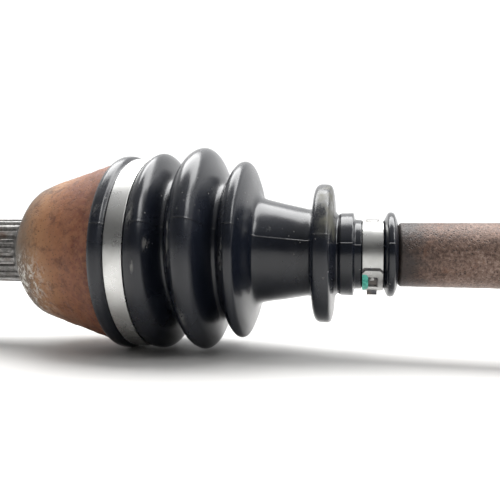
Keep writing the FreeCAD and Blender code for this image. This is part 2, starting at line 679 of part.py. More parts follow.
def make_buckle_clamp(name, start, first_angle):
    """Small clamp whose strip is doubled under a windowed buckle with a low hook."""
    inner = "(small_seat_radius + 0.05)"
    outer = f"({inner} + small_band_thickness)"
    strip = strip_ring(name + "_strip", start, inner, "small_band_thickness")
    layer = sector(name + "_layer", start, "band_width", f"{inner} + 0.2",
                   f"{outer} + buckle_rise", first_angle, "buckle_sweep")
    window = sector(name + "_window", f"{start} + 1.6", "band_width - 3.2", outer,
                    f"{outer} + 5", first_angle + 16, "window_sweep")
    hook = sector(name + "_hook", f"{start} + 1.8", "band_width - 3.6", f"{inner} + 0.2",
                  f"{outer} + hook_rise", first_angle + 38, "6")
    buckle = cut(name + "_buckle", layer, window)
    keep(name, fused(name + "_solid", [strip, buckle, hook]))


# ---------------------------------------------------------------- tripod joint

TRUNNIONS = {"a": 0, "b": 120, "c": 240}


def trunnion_place(angle):
    """Frame of a trunnion: local +Z runs out along it from the joint centre."""
    return Placement(Vector(size_of("tripod_at"), 0, 0), Rotation(X_AXIS, angle - 90))


def on_trunnion(kind, name, angle, height, **formulas):
    """A primitive that stands on a trunnion, its base at a bound height along it."""
    place = trunnion_place(angle)
    item = made(kind, name, place, **formulas)
    lean = math.radians(angle)
    item.setExpression("Placement.Base.x", bound("tripod_at"))
    item.setExpression("Placement.Base.y", f"{math.cos(lean):.9f} * ({bound(height)})")
    item.setExpression("Placement.Base.z", f"{math.sin(lean):.9f} * ({bound(height)})")
    return item


def tube_on_trunnion(name, angle, height, length, inner, outer):
    whole = on_trunnion("Cylinder", name + "_whole", angle, height, Radius=outer, Height=length)
    core = on_trunnion("Cylinder", name + "_bore", angle, f"{height} - 1", Radius=inner,
                       Height=f"{length} + 2")
    return cut(name, whole, core)


def make_spider():
    """Spider: splined hub with three trunnions, each with a ring groove near its tip."""
    hub = turned("spider_hub", [
        ("tripod_at - hub_width / 2", "bar_spline_root + spline_gap"),
        ("tripod_at - hub_width / 2", "hub_radius - 1"),
        ("tripod_at - hub_width / 2 + 1", "hub_radius"),
        ("tripod_at + hub_width / 2 - 1", "hub_radius"),
        ("tripod_at + hub_width / 2", "hub_radius - 1"),
        ("tripod_at + hub_width / 2", "bar_spline_root + spline_gap"),
    ])
    cut_teeth(hub, "bar_spline_teeth", inner_space("bar_spline_radius", "bar_spline_root",
              "bar_spline_teeth"), "tripod_at - hub_width / 2 - 1", "hub_width + 2")
    hub.Placement = HALF_TOOTH_TURN
    arms, grooves = [], []
    for letter, angle in TRUNNIONS.items():
        arms.append(on_trunnion("Cylinder", "arm_" + letter, angle, "hub_radius - 1.8",
                    Radius="trunnion_radius", Height="trunnion_tip - hub_radius + 1.8"))
        grooves.append(tube_on_trunnion("arm_groove_" + letter, angle, RING_AT,
                       "ring_thickness + 0.1", "trunnion_radius - 0.8", "trunnion_radius + 1"))
    solid = cut("spider_solid", fused("spider_blank", [hub] + arms),
                fused("spider_grooves", grooves))
    keep("tripod_spider", solid)


NEEDLE_CIRCLE = "(trunnion_radius + needle_gap + needle_radius)"
ROLLER_BORE = f"({NEEDLE_CIRCLE} + needle_radius + needle_gap)"
WASHER_AT = "(roller_circle_radius + roller_width / 2 + 0.1)"
RING_AT = f"({WASHER_AT} + washer_thickness + 0.05)"


def make_roller(letter, angle):
    """Spherical roller with a plain bore for the needles."""
    ball = on_trunnion("Sphere", "roller_ball_" + letter, angle, "roller_circle_radius",
                       Radius="roller_radius")
    slab = tube_on_trunnion("roller_slab_" + letter, angle,
                            "roller_circle_radius - roller_width / 2", "roller_width",
                            ROLLER_BORE, "roller_radius + 1")
    keep("tripod_roller_" + letter, common("roller_solid_" + letter, [ball, slab]))


def make_needles(letter, angle):
    """Loose needles that fill the ring between a trunnion and its roller."""
    needles = []
    count = int(size_of("needle_count"))
    radius = size_of(NEEDLE_CIRCLE)
    lean = math.radians(angle)
    outward = Vector(0, math.cos(lean), math.sin(lean))
    sideways = X_AXIS.cross(outward)
    foot = size_of("roller_circle_radius - needle_length / 2")
    for index in range(count):
        around = 2 * math.pi * index / count
        place = trunnion_place(angle)
        place.Base = place.Base + outward * foot
        place.Base = place.Base + (X_AXIS * math.cos(around) + sideways * math.sin(around)) * radius
        needles.append(made("Cylinder", f"needle_{letter}_{index}", place,
                            Radius="needle_radius", Height="needle_length"))
    keep("needle_set_" + letter, grouped("needles_" + letter, needles))


def make_retainers(letter, angle):
    """Washer over the needles and the snap ring that holds it."""
    washer = tube_on_trunnion("washer_tube_" + letter, angle, WASHER_AT, "washer_thickness",
                              "trunnion_radius + 0.05", f"{ROLLER_BORE} + 1.2")
    keep("needle_washer_" + letter, washer)
    ring = tube_on_trunnion("ring_tube_" + letter, angle, RING_AT, "ring_thickness",
                            "trunnion_radius - 0.75", "trunnion_radius + 0.9")
    gap = on_trunnion("Box", "ring_gap_" + letter, angle, f"{RING_AT} - 1",
                      Length="12", Width="2.4", Height="ring_thickness + 2")
    keep("roller_ring_" + letter, cut("ring_solid_" + letter, ring, gap))


# ---------------------------------------------------------------- gearbox-side housing

def three_lobes(name, radius, core_radius, start, length):
    """A middle cylinder and one cylinder for each trunnion, along +X."""
    pieces = [along_x(name + "_core", core_radius, start, length)]
    for letter, angle in TRUNNIONS.items():
        offset = round_axis(size_of("roller_circle_radius"), angle)
        pieces.append(along_x(f"{name}_{letter}", radius, start, length, offset))
    return fused(name, pieces)


def make_housing():
    """Three-track housing and gearbox stub: one forging."""
    outside = three_lobes("housing_outside", "lobe_radius", "housing_core_radius",
                          "housing_mouth", "housing_back - housing_mouth")
    hollow = three_lobes("housing_hollow", "housing_track_radius", "housing_bore_radius",
                         "housing_mouth - 1", "housing_floor - housing_mouth + 1")
    groove = made("Torus", "stop_groove", Placement(Vector(), TURN_Z_TO_X),
                  Radius1="stop_ring_radius", Radius2="stop_ring_wire + 0.1")
    groove.setExpression("Placement.Base.x", bound("stop_ring_at"))
    stub = turned("stub_blank", [
        ("housing_floor + 1", "0"), ("housing_floor + 1", "journal_radius + 8"),
        ("housing_back", "journal_radius + 8"), ("housing_back + 3", "journal_radius + 1"),
        ("housing_back + 4", "journal_radius"), ("journal_end", "journal_radius"),
        ("journal_end + 1", "far_spline_radius"), ("journal_end + 1.4", "far_relief_radius"),
        ("journal_end + 2.6", "far_relief_radius"), ("journal_end + 3.6", "far_spline_radius"),
        ("stub_clip_at - 1", "far_spline_radius"),
        ("stub_clip_at - 1", "far_spline_radius - 2.2"),
        ("stub_clip_at + 1.1", "far_spline_radius - 2.2"),
        ("stub_clip_at + 1.1", "far_spline_radius"), ("far_end - 1.6", "far_spline_radius"),
        ("far_end", "far_spline_radius - 1.6"), ("far_end", "0"),
    ])
    cut_teeth(stub, "far_spline_teeth", outer_space("far_spline_radius", "far_spline_root",
              "far_spline_teeth"), "journal_end + 2.2", "far_end - journal_end")
    chamfer = made("Cone", "housing_chamfer", Placement(Vector(), TURN_Z_TO_X),
                   Radius1="housing_chamfer_radius", Radius2="housing_bore_radius",
                   Height="housing_chamfer_length")
    chamfer.setExpression("Placement.Base.x", bound("housing_mouth"))
    hollows = fused("housing_cuts", [hollow, chamfer, groove])
    shell = cut("housing_shell", outside, hollows)
    keep("inboard_housing", fused("housing_solid", [shell, stub]))


def make_stop_ring():
    """Wire ring that stops the rollers at the mouth."""
    ring = made("Torus", "stop_ring_wire_solid", Placement(Vector(), TURN_Z_TO_X),
                Radius1="stop_ring_radius", Radius2="stop_ring_wire", Angle3="350")
    ring.setExpression("Placement.Base.x", bound("stop_ring_at"))
    keep("housing_stop_ring", ring)


def make_stub_clip():
    """Round wire clip near the end of the gearbox stub."""
    ring = made("Torus", "stub_clip_solid", Placement(Vector(), TURN_Z_TO_X),
                Radius1="far_spline_radius - 1.1", Radius2="stub_clip_wire", Angle3="340")
    ring.setExpression("Placement.Base.x", bound("stub_clip_at"))
    keep("stub_circlip", ring)


def make_bushing():
    """Plastic ring that is round outside and three-lobed inside."""
    ring = along_x("bushing_round", "bushing_radius", "housing_mouth + 0.4", "bushing_length")
    hollow = three_lobes("bushing_hollow", "lobe_radius + bushing_gap",
                         "housing_core_radius + bushing_gap", "housing_mouth - 1",
                         "bushing_length + 4")
    keep("inboard_bushing", cut("bushing_solid", ring, hollow))


# ---------------------------------------------------------------- assembly

make_bell()
make_cage()
make_inner_race()
make_balls()
make_bar()
make_bar_clip("outboard_race_circlip", "(ball_joint_at - race_width / 2 - clip_width - 0.1)")
make_bar_clip("spider_circlip", "(tripod_at + hub_width / 2 + 0.1)")
make_wheel_boot()
make_ear_clamp("outboard_large_clamp", "band_start", "band_seat_radius", 20)
make_buckle_clamp("outboard_small_clamp", "small_band_start", -63)
make_spider()
for trunnion, lean_angle in TRUNNIONS.items():
    make_roller(trunnion, lean_angle)
    make_needles(trunnion, lean_angle)
    make_retainers(trunnion, lean_angle)
make_housing()
make_stop_ring()
make_stub_clip()
make_bushing()
make_gearbox_boot()
make_ear_clamp("inboard_large_clamp", "far_band_start", "far_seat_radius", 60)
make_buckle_clamp("inboard_small_clamp", "far_small_band_start", 40)

# ---------------------------------------------------------------- checks and files

doc.recompute()
for item in doc.Objects:
    if "Invalid" in item.State or "Error" in item.State:
        raise RuntimeError(f"{item.Label} failed: {item.State}")
os.makedirs("parts", exist_ok=True)
for name, item in nodes.items():
    shape = item.Shape
    if shape.isNull() or not shape.isValid() or not shape.Solids:
        raise RuntimeError(f"{name} has no valid solid")
    shape.exportStep(f"parts/{name}.step")
    print(f"{name}: {len(shape.Solids)} solid(s), {shape.Volume:.0f} mm3")
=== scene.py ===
"""Looks of the cv axle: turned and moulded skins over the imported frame, in metres."""

import json
import math

import bmesh
import bpy
import numpy as np
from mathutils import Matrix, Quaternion, Vector


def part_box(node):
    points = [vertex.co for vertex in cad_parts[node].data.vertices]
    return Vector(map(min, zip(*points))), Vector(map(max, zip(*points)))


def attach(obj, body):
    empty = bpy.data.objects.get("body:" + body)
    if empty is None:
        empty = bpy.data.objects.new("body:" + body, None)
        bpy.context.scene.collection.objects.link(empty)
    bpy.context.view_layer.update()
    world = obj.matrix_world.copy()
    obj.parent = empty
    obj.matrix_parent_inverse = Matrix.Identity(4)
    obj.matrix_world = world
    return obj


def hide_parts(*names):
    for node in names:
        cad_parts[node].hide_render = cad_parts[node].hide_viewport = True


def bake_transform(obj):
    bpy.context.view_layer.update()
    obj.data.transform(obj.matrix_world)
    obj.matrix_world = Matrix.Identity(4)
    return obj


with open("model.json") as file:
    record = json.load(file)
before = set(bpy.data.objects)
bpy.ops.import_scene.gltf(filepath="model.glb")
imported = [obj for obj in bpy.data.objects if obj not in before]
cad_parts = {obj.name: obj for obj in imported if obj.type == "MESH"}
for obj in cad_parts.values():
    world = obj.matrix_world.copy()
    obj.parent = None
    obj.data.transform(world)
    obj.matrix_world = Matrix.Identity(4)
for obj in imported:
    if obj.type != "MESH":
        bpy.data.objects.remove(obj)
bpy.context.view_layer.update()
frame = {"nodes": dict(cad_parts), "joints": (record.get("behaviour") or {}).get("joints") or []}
MM = 0.001


def span(node):
    """Lowest and highest corner of a node in millimetres."""
    low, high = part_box(node)
    return np.array(low) / MM, np.array(high) / MM


# ---------------------------------------------------------------- shapes

def rounded(corners, steps=7):
    """A profile whose corners are cut by quadratic curves.

    Each corner is (distance, radius, reach): the curve starts and ends that far from the
    corner along its two sides, or 0.48 of a side where the side is too short."""
    points = np.array([(x, r) for x, r, _ in corners], float)
    reach = np.array([c[2] for c in corners], float)
    line = [points[:1]]
    t = np.linspace(0, 1, steps)[:, None]
    for index in range(1, len(points) - 1):
        before, corner, after = points[index - 1:index + 2]
        back, ahead = before - corner, after - corner
        long_back, long_ahead = np.linalg.norm(back), np.linalg.norm(ahead)
        start = corner + back / long_back * min(reach[index], 0.48 * long_back)
        end = corner + ahead / long_ahead * min(reach[index], 0.48 * long_ahead)
        line.append((1 - t) ** 2 * start + 2 * t * (1 - t) * corner + t ** 2 * end)
    line.append(points[-1:])
    return np.vstack(line)


def even(line, spacing):
    """The same line with points added so that no step is longer than the spacing."""
    steps = np.linalg.norm(np.diff(line, axis=0), axis=1)
    counts = np.maximum(1, np.ceil(steps / spacing)).astype(int)
    parts = [a + (b - a) * np.arange(n)[:, None] / n
             for a, b, n in zip(line[:-1], line[1:], counts)]
    return np.vstack(parts + [line[-1:]])


def grid_faces(rows, columns, loop_rows, loop_columns=True):
    """Quads between neighbouring grid points, numbered row by row."""
    row = np.arange(rows if loop_rows else rows - 1)
    column = np.arange(columns if loop_columns else columns - 1)
    i, j = np.meshgrid(row, column, indexing="ij")
    after_i, after_j = (i + 1) % rows, (j + 1) % columns
    quads = np.stack([i * columns + j, i * columns + after_j,
                      after_i * columns + after_j, after_i * columns + j], axis=-1)
    return quads.reshape(-1, 4)


def mesh_piece(name, points, quads, fans=(), smooth_angle=35):
    """A mesh from points in millimetres, quads, and fans of (centre point, ring of indices)."""
    points = np.asarray(points, float)
    triangles = []
    for centre, ring in fans:
        points = np.vstack([points, [centre]])
        last = len(points) - 1
        triangles.append(np.stack([np.full(len(ring), last), ring, np.roll(ring, -1)], axis=1))
    faces = quads.tolist() + [f for group in triangles for f in group.tolist()]
    mesh = bpy.data.meshes.new(name)
    mesh.from_pydata((points * MM).tolist(), [], faces)
    mesh.update()
    piece = bpy.data.objects.new(name, mesh)
    bpy.context.collection.objects.link(piece)
    mesh.shade_smooth()
    mesh.set_sharp_from_angle(angle=math.radians(smooth_angle))
    return piece


def outward(piece):
    """Recalculate normals so that a closed skin faces outwards."""
    work = bmesh.new()
    work.from_mesh(piece.data)
    bmesh.ops.remove_doubles(work, verts=work.verts, dist=1e-7)
    bmesh.ops.recalc_face_normals(work, faces=work.faces)
    work.to_mesh(piece.data)
    work.free()
    return piece


def turned(name, line, angles, relief=None, smooth_angle=35):
    """A surface of revolution about X: point (x, r) of the profile carried round by each angle.

    Angles are counted from -Y towards +Z. The relief is a function of (x, r, angle) grids that
    gives a new radius grid. A profile whose ends lie on the axis is closed by fans, and any
    other is closed as a loop."""
    x = np.repeat(line[:, :1], len(angles), axis=1)
    r = np.repeat(line[:, 1:], len(angles), axis=1)
    around = np.repeat(angles[None, :], len(line), axis=0)
    if relief is not None:
        r = relief(x, r, around)
    capped = line[0, 1] < 1e-6 and line[-1, 1] < 1e-6
    if capped:
        x, r, around = x[1:-1], r[1:-1], around[1:-1]
    points = np.stack([x, -r * np.cos(around), r * np.sin(around)], axis=-1)
    rows, columns = x.shape
    quads = grid_faces(rows, columns, loop_rows=not capped)
    fans = []
    if capped:
        ring = np.arange(columns)
        fans = [((line[0, 0], 0, 0), ring[::-1]),
                ((line[-1, 0], 0, 0), ring + (rows - 1) * columns)]
    return mesh_piece(name, points.reshape(-1, 3), quads, fans, smooth_angle)


def all_round(count):
    return np.arange(count) * 2 * math.pi / count


def smooth_step(low, high, value):
    t = np.clip((value - low) / (high - low), 0, 1)
    return t * t * (3 - 2 * t)


def ripple(x, around, seed, size, waves=14, finest=2.2):
    """A gentle uneven surface: the sum of sine waves with seeded directions, all the same size."""
    chance = np.random.default_rng(seed)
    total = np.zeros_like(x)
    for _ in range(waves):
        turns = chance.integers(-9, 10)
        length = chance.uniform(finest, finest * 6)
        total += np.sin(2 * math.pi * x / length + turns * around + chance.uniform(0, 6.28))
    return total * size / math.sqrt(waves)


def set_attribute(piece, name, values):
    layer = piece.data.attributes.new(name, "FLOAT", "POINT")
    layer.data.foreach_set("value", np.asarray(values, np.float32))


# ---------------------------------------------------------------- node helpers for finishes

class Finish:
    """One procedural material, built from small named steps on Object coordinates."""

    def __init__(self, name):
        self.material = bpy.data.materials.new(name)
        self.material.use_nodes = True
        self.tree = self.material.node_tree
        self.shader = self.tree.nodes["Principled BSDF"]
        self.place = self.tree.nodes.new("ShaderNodeTexCoord").outputs["Object"]

    def node(self, kind, **inputs):
        made = self.tree.nodes.new("ShaderNode" + kind)
        for key, value in inputs.items():
            self.feed(made.inputs[key.replace("_", " ")], value)
        return made

    def feed(self, socket, value):
        if isinstance(value, bpy.types.NodeSocket):
            self.tree.links.new(value, socket)
        else:
            socket.default_value = value

    def stretched(self, scale):
        return self.node("Mapping", Vector=self.place, Scale=scale).outputs["Vector"]

    def noise(self, scale, detail=5.0, roughness=0.55, where=None, distortion=0.0):
        made = self.node("TexNoise", Vector=where or self.place, Scale=scale, Detail=detail,
                         Roughness=roughness, Distortion=distortion)
        return made.outputs["Fac"]

    def specks(self, scale, size, where=None):
        """Small round spots of a share of a cell's size."""
        made = self.node("TexVoronoi", Vector=where or self.place, Scale=scale)
        return self.between(made.outputs["Distance"], size, size * 0.55)

    def between(self, value, low, high, first=0.0, last=1.0):
        """A value from first to last as the input goes from low to high, smoothly."""
        made = self.tree.nodes.new("ShaderNodeMapRange")
        made.interpolation_type = "SMOOTHSTEP"
        for key, number in (("From Min", low), ("From Max", high),
                            ("To Min", first), ("To Max", last)):
            made.inputs[key].default_value = number
        self.feed(made.inputs["Value"], value)
        return made.outputs["Result"]

    def math(self, operation, first, second=0.0):
        made = self.tree.nodes.new("ShaderNodeMath")
        made.operation = operation
        self.feed(made.inputs[0], first)
        self.feed(made.inputs[1], second)
        return made.outputs["Value"]

    def mix(self, share, first, second):
        """Colour mix by a share."""
        made = self.tree.nodes.new("ShaderNodeMix")
        made.data_type = "RGBA"
        self.feed(made.inputs["Factor"], share)
        self.feed(made.inputs["A"], first)
        self.feed(made.inputs["B"], second)
        return made.outputs["Result"]

    def ramp(self, value, *stops):
        """Colour ramp through (place, colour) stops."""
        made = self.tree.nodes.new("ShaderNodeValToRGB")
        band = made.color_ramp.elements
        while len(band) < len(stops):
            band.new(0.5)
        for element, (position, colour) in zip(band, stops):
            element.position = position
            element.color = colour
        self.feed(made.inputs["Fac"], value)
        return made.outputs["Color"]

    def axis(self, letter):
        split = self.tree.nodes.new("ShaderNodeSeparateXYZ")
        self.feed(split.inputs["Vector"], self.place)
        return split.outputs[letter]

    def attribute(self, name):
        made = self.tree.nodes.new("ShaderNodeAttribute")
        made.attribute_name = name
        return made.outputs["Fac"]

    def bump(self, height, depth_mm, strength=1.0, after=None):
        made = self.node("Bump", Height=height, Strength=strength, Distance=depth_mm * MM)
        if after is not None:
            self.feed(made.inputs["Normal"], after)
        return made.outputs["Normal"]

    def set(self, **sockets):
        for key, value in sockets.items():
            self.feed(self.shader.inputs[key.replace("_", " ")], value)
        return self.material


def grey(value, blue=0.0):
    return (value, value, value * (1 + blue), 1.0)


def wear(piece, *materials):
    """Give a piece these materials in its slots."""
    piece.data.materials.clear()
    for material in materials:
        piece.data.materials.append(material)


# ---------------------------------------------------------------- finishes

def rusty_forging(name, nose, run, bare_to):
    """Rust over a forging, in bands from the nose along the axis, with pits and bare steel.

    The bands follow (distance - nose) / run, shifted by noise; bare scratches on the underside
    reach the share bare_to of the run."""
    f = Finish(name)
    broad = f.noise(60, 6, 0.62)
    fine = f.noise(480, 7, 0.68)
    along = f.math("DIVIDE", f.math("SUBTRACT", f.axis("X"), nose * MM), run * MM)
    shift = f.math("MULTIPLY", f.math("SUBTRACT", broad, 0.5), 0.75)
    rust = f.ramp(f.math("ADD", along, shift),
                  (0.00, (0.150, 0.115, 0.085, 1)), (0.16, (0.310, 0.190, 0.105, 1)),
                  (0.38, (0.330, 0.165, 0.080, 1)), (0.60, (0.225, 0.090, 0.046, 1)),
                  (0.82, (0.165, 0.056, 0.032, 1)), (1.00, (0.125, 0.042, 0.026, 1)))
    mottle = f.between(fine, 0.38, 0.62)
    rust = f.mix(f.math("MULTIPLY", mottle, 0.30), rust, (0.42, 0.215, 0.110, 1))
    dark = f.between(f.noise(190, 8, 0.74, distortion=0.3), 0.49, 0.62)
    rust = f.mix(f.math("MULTIPLY", dark, 0.58), rust, (0.075, 0.026, 0.018, 1))
    pits = f.specks(850, 0.24)
    rust = f.mix(f.math("MULTIPLY", pits, 0.6), rust, (0.030, 0.014, 0.011, 1))
    edge = f.math("ADD", along, f.math("MULTIPLY", f.math("SUBTRACT", broad, 0.5), 0.22))
    rust = f.mix(f.between(edge, 0.40, 0.10, 0, 0.82), rust, (0.110, 0.098, 0.084, 1))
    low = f.between(f.axis("Z"), 0.003, -0.009)
    flakes = f.noise(560, 8, 0.80, f.stretched((0.9, 1, 0.6)), 0.35)
    near = f.between(f.math("ADD", along, f.math("MULTIPLY", shift, 0.6)), bare_to, 0.08)
    bare = f.math("MULTIPLY", f.math("MULTIPLY", near, low), f.between(flakes, 0.49, 0.57))
    colour = f.mix(f.math("MULTIPLY", bare, 0.95), rust, (0.86, 0.84, 0.78, 1))
    height = f.math("SUBTRACT", f.math("MULTIPLY", fine, 0.8), f.math("MULTIPLY", pits, 0.5))
    height = f.math("SUBTRACT", height, f.math("MULTIPLY", bare, 0.3))
    return f.set(Base_Color=colour, Roughness=f.between(mottle, 0, 1, 0.50, 0.66),
                 Metallic=f.math("MULTIPLY", bare, 0.35), Specular_IOR_Level=0.3,
                 Normal=f.bump(height, 0.30, 0.8))


def spline_steel():
    """Dull machined steel with broad patches of rust."""
    f = Finish("spline_steel")
    broad = f.noise(140, 6, 0.6)
    fine = f.noise(1100, 4, 0.6)
    steel = f.ramp(fine, (0.3, (0.13, 0.125, 0.12, 1)), (0.7, (0.34, 0.33, 0.32, 1)))
    colour = f.mix(f.between(broad, 0.52, 0.74), steel, (0.13, 0.075, 0.05, 1))
    return f.set(Base_Color=colour, Roughness=f.between(broad, 0.3, 0.7, 0.30, 0.55),
                 Metallic=f.between(broad, 0.45, 0.75, 0.9, 0.35), Normal=f.bump(fine, 0.08, 0.6))


def bar_steel():
    """Brown-grey bar: thin mill scale with rust freckles, and grease beside the boots."""
    f = Finish("bar_steel")
    broad = f.noise(60, 6, 0.62, f.stretched((0.6, 1, 1)))
    fine = f.noise(1050, 8, 0.74)
    colour = f.ramp(f.math("ADD", f.math("MULTIPLY", broad, 0.35), f.math("MULTIPLY", fine, 0.65)),
                    (0.36, (0.020, 0.012, 0.010, 1)), (0.46, (0.078, 0.046, 0.034, 1)),
                    (0.54, (0.165, 0.104, 0.080, 1)), (0.66, (0.340, 0.250, 0.205, 1)))
    rusty = f.between(f.noise(130, 6, 0.7), 0.52, 0.68)
    colour = f.mix(f.math("MULTIPLY", rusty, 0.45), colour, (0.190, 0.085, 0.045, 1))
    freckles = f.specks(700, 0.26)
    colour = f.mix(f.math("MULTIPLY", freckles, 0.7), colour, (0.026, 0.017, 0.014, 1))
    x = f.axis("X")
    edge = f.math("MULTIPLY", f.noise(120, 5, 0.65), 0.016)
    near_wheel = f.between(f.math("ADD", x, edge), 0.1595, 0.1495)
    near_gearbox = f.between(f.math("SUBTRACT", x, edge), 0.333, 0.342)
    grease = f.math("MAXIMUM", near_wheel, near_gearbox)
    colour = f.mix(f.math("MULTIPLY", grease, 0.80), colour, (0.026, 0.024, 0.024, 1))
    height = f.math("SUBTRACT", fine, f.math("MULTIPLY", freckles, 0.6))
    return f.set(Base_Color=colour, Roughness=f.between(fine, 0.3, 0.7, 0.34, 0.58),
                 Metallic=0.35, Normal=f.bump(height, 0.30, 0.85))


def boot_rubber():
    """Black moulded rubber with a waxy bloom, dust in fine specks and scuffs on the crests."""
    f = Finish("boot_rubber")
    broad = f.noise(38, 5, 0.6)
    fine = f.noise(900, 5, 0.7)
    base = f.mix(f.between(broad, 0.42, 0.68), (0.0052, 0.0068, 0.0115, 1),
                 (0.0095, 0.0115, 0.0175, 1))
    dust = f.math("MULTIPLY", f.between(f.noise(210, 6, 0.75), 0.60, 0.78),
                  f.between(f.noise(30, 3, 0.5), 0.47, 0.70))
    scuff = f.math("MULTIPLY", f.attribute("scuffed"),
                   f.between(f.noise(700, 6, 0.8, f.stretched((1, 1, 0.5))), 0.42, 0.60))
    specks = f.math("MULTIPLY", f.specks(330, 0.12), f.between(f.noise(25, 2), 0.50, 0.64))
    pale = f.math("MAXIMUM", f.math("MULTIPLY", dust, 0.30),
                  f.math("MAXIMUM", f.math("MULTIPLY", scuff, 0.75),
                         f.math("MULTIPLY", specks, 0.5)))
    stain = f.math("MULTIPLY", f.attribute("stain"), f.between(f.noise(110, 6, 0.7), 0.36, 0.58))
    colour = f.mix(pale, base, (0.24, 0.235, 0.22, 1))
    colour = f.mix(f.math("MULTIPLY", stain, 0.5), colour, (0.135, 0.128, 0.080, 1))
    colour = f.mix(f.math("MULTIPLY", f.attribute("parting"), 0.8), colour,
                   (0.003, 0.003, 0.004, 1))
    rough = f.math("ADD", f.between(broad, 0.35, 0.7, 0.20, 0.30),
                   f.math("MULTIPLY", f.math("MAXIMUM", pale, stain), 0.4))
    return f.set(Base_Color=colour, Roughness=rough, Specular_IOR_Level=0.55,
                 Normal=f.bump(fine, 0.04, 0.4))


def clamp_steel(name, shine):
    """Smooth rolled stainless strip: faint lines along the strip, light smudges."""
    f = Finish(name)
    lines = f.noise(900, 3, 0.6, f.stretched((1, 0.04, 0.04)))
    smudge = f.noise(90, 5, 0.6)
    colour = f.mix(f.between(smudge, 0.35, 0.75), grey(shine, -0.02), grey(shine * 0.82, -0.04))
    marks = f.between(f.noise(1300, 3, 0.6, f.stretched((0.25, 1, 1))), 0.66, 0.74)
    colour = f.mix(f.math("MULTIPLY", marks, 0.35), colour, grey(0.2))
    return f.set(Base_Color=colour, Metallic=1.0, Roughness=f.between(smudge, 0.3, 0.7, 0.24, 0.38),
                 Normal=f.bump(lines, 0.015, 0.5))


def ground_steel():
    """Hardened and ground joint parts with an oily sheen."""
    f = Finish("ground_steel")
    cloud = f.noise(120, 5, 0.6)
    colour = f.mix(f.between(cloud, 0.35, 0.7), (0.48, 0.49, 0.50, 1), (0.34, 0.34, 0.345, 1))
    return f.set(Base_Color=colour, Metallic=1.0, Roughness=f.between(cloud, 0.3, 0.7, 0.20, 0.34),
                 Normal=f.bump(f.noise(1500, 3), 0.02, 0.4))


def spring_wire():
    """Dark oiled spring steel."""
    f = Finish("spring_wire")
    cloud = f.noise(260, 5, 0.6)
    colour = f.mix(f.between(cloud, 0.35, 0.7), (0.10, 0.10, 0.11, 1), (0.19, 0.17, 0.15, 1))
    return f.set(Base_Color=colour, Metallic=0.85, Roughness=f.between(cloud, 0.3, 0.7, 0.35, 0.55),
                 Normal=f.bump(f.noise(1400, 3), 0.03, 0.5))


def bushing_plastic():
    """Black moulded plastic with a fine grain."""
    f = Finish("bushing_plastic")
    grain = f.noise(1600, 3, 0.6)
    colour = f.mix(f.between(f.noise(70, 4), 0.4, 0.7), (0.020, 0.020, 0.022, 1),
                   (0.040, 0.039, 0.038, 1))
    return f.set(Base_Color=colour, Roughness=0.5, Normal=f.bump(grain, 0.03, 0.6))


def paint_mark():
    """Green marking paint, thin at its edges, over the strip."""
    f = Finish("paint_mark")
    cloud = f.noise(700, 4, 0.6)
    colour = f.mix(f.between(cloud, 0.35, 0.65), (0.03, 0.34, 0.25, 1), (0.10, 0.50, 0.40, 1))
    return f.set(Base_Color=colour, Roughness=0.42, Normal=f.bump(cloud, 0.05, 0.6))


RUST = rusty_forging("rusty_forging", 0, 42, 0.50)
HOUSING = rusty_forging("housing_forging", 524, -90, 0.2)
SPLINE = spline_steel()
BAR = bar_steel()
RUBBER = boot_rubber()
STRIP = clamp_steel("clamp_steel", 0.66)
# Painted shade: the small clamps take a darker copy of the clamp steel, to dim their reflection.
SHADED_SMALL_STRIP = clamp_steel("small_clamp_steel_painted_darker", 0.50)
GROUND = ground_steel()
WIRE = spring_wire()
PLASTIC = bushing_plastic()
PAINT = paint_mark()

CAD_FINISHES = {
    "outboard_cage": GROUND, "outboard_inner_race": GROUND, "tripod_spider": GROUND,
    "outboard_race_circlip": WIRE, "spider_circlip": WIRE, "housing_stop_ring": WIRE,
    "stub_circlip": WIRE, "inboard_bushing": PLASTIC, "shaft_bar": BAR,
    "inboard_housing": HOUSING, "outboard_bell": RUST, "outboard_boot": RUBBER,
    "inboard_boot": RUBBER, "outboard_large_clamp": STRIP, "outboard_small_clamp": STRIP,
    "inboard_large_clamp": STRIP, "inboard_small_clamp": STRIP,
}
for node_name, node_object in frame["nodes"].items():
    if node_name.startswith(("outboard_ball", "tripod_roller", "needle_set")):
        CAD_FINISHES[node_name] = GROUND
    if node_name.startswith(("needle_washer", "roller_ring")):
        CAD_FINISHES[node_name] = WIRE
    wear(node_object, CAD_FINISHES[node_name])


# ---------------------------------------------------------------- wheel stub and bell

TEETH = 22
STUB_COLUMNS = 12 * TEETH
BELL_LOW, BELL_HIGH = span("outboard_bell")
STUB_END = BELL_LOW[0]
BELL_MOUTH = BELL_HIGH[0]
JOINTS = {joint["name"]: joint for joint in frame["joints"]}
JOINT = JOINTS["outboard_bend"]["pos_m"][0] / MM
ROLLER_CIRCLE = JOINTS["roller_a_spin"]["pos_m"][1] / MM
BALL_LOW, BALL_HIGH = span("outboard_ball_1")
BALL_CIRCLE = math.hypot(*((BALL_LOW + BALL_HIGH) / 2)[1:])
BORE = 23.4
TRACK_OFFSET = 0.8
TRACK_REACH = 17.5
TRACK_ARC = math.hypot(BALL_CIRCLE, TRACK_OFFSET)
TRACK = (BALL_HIGH[0] - BALL_LOW[0]) / 2 + 0.86


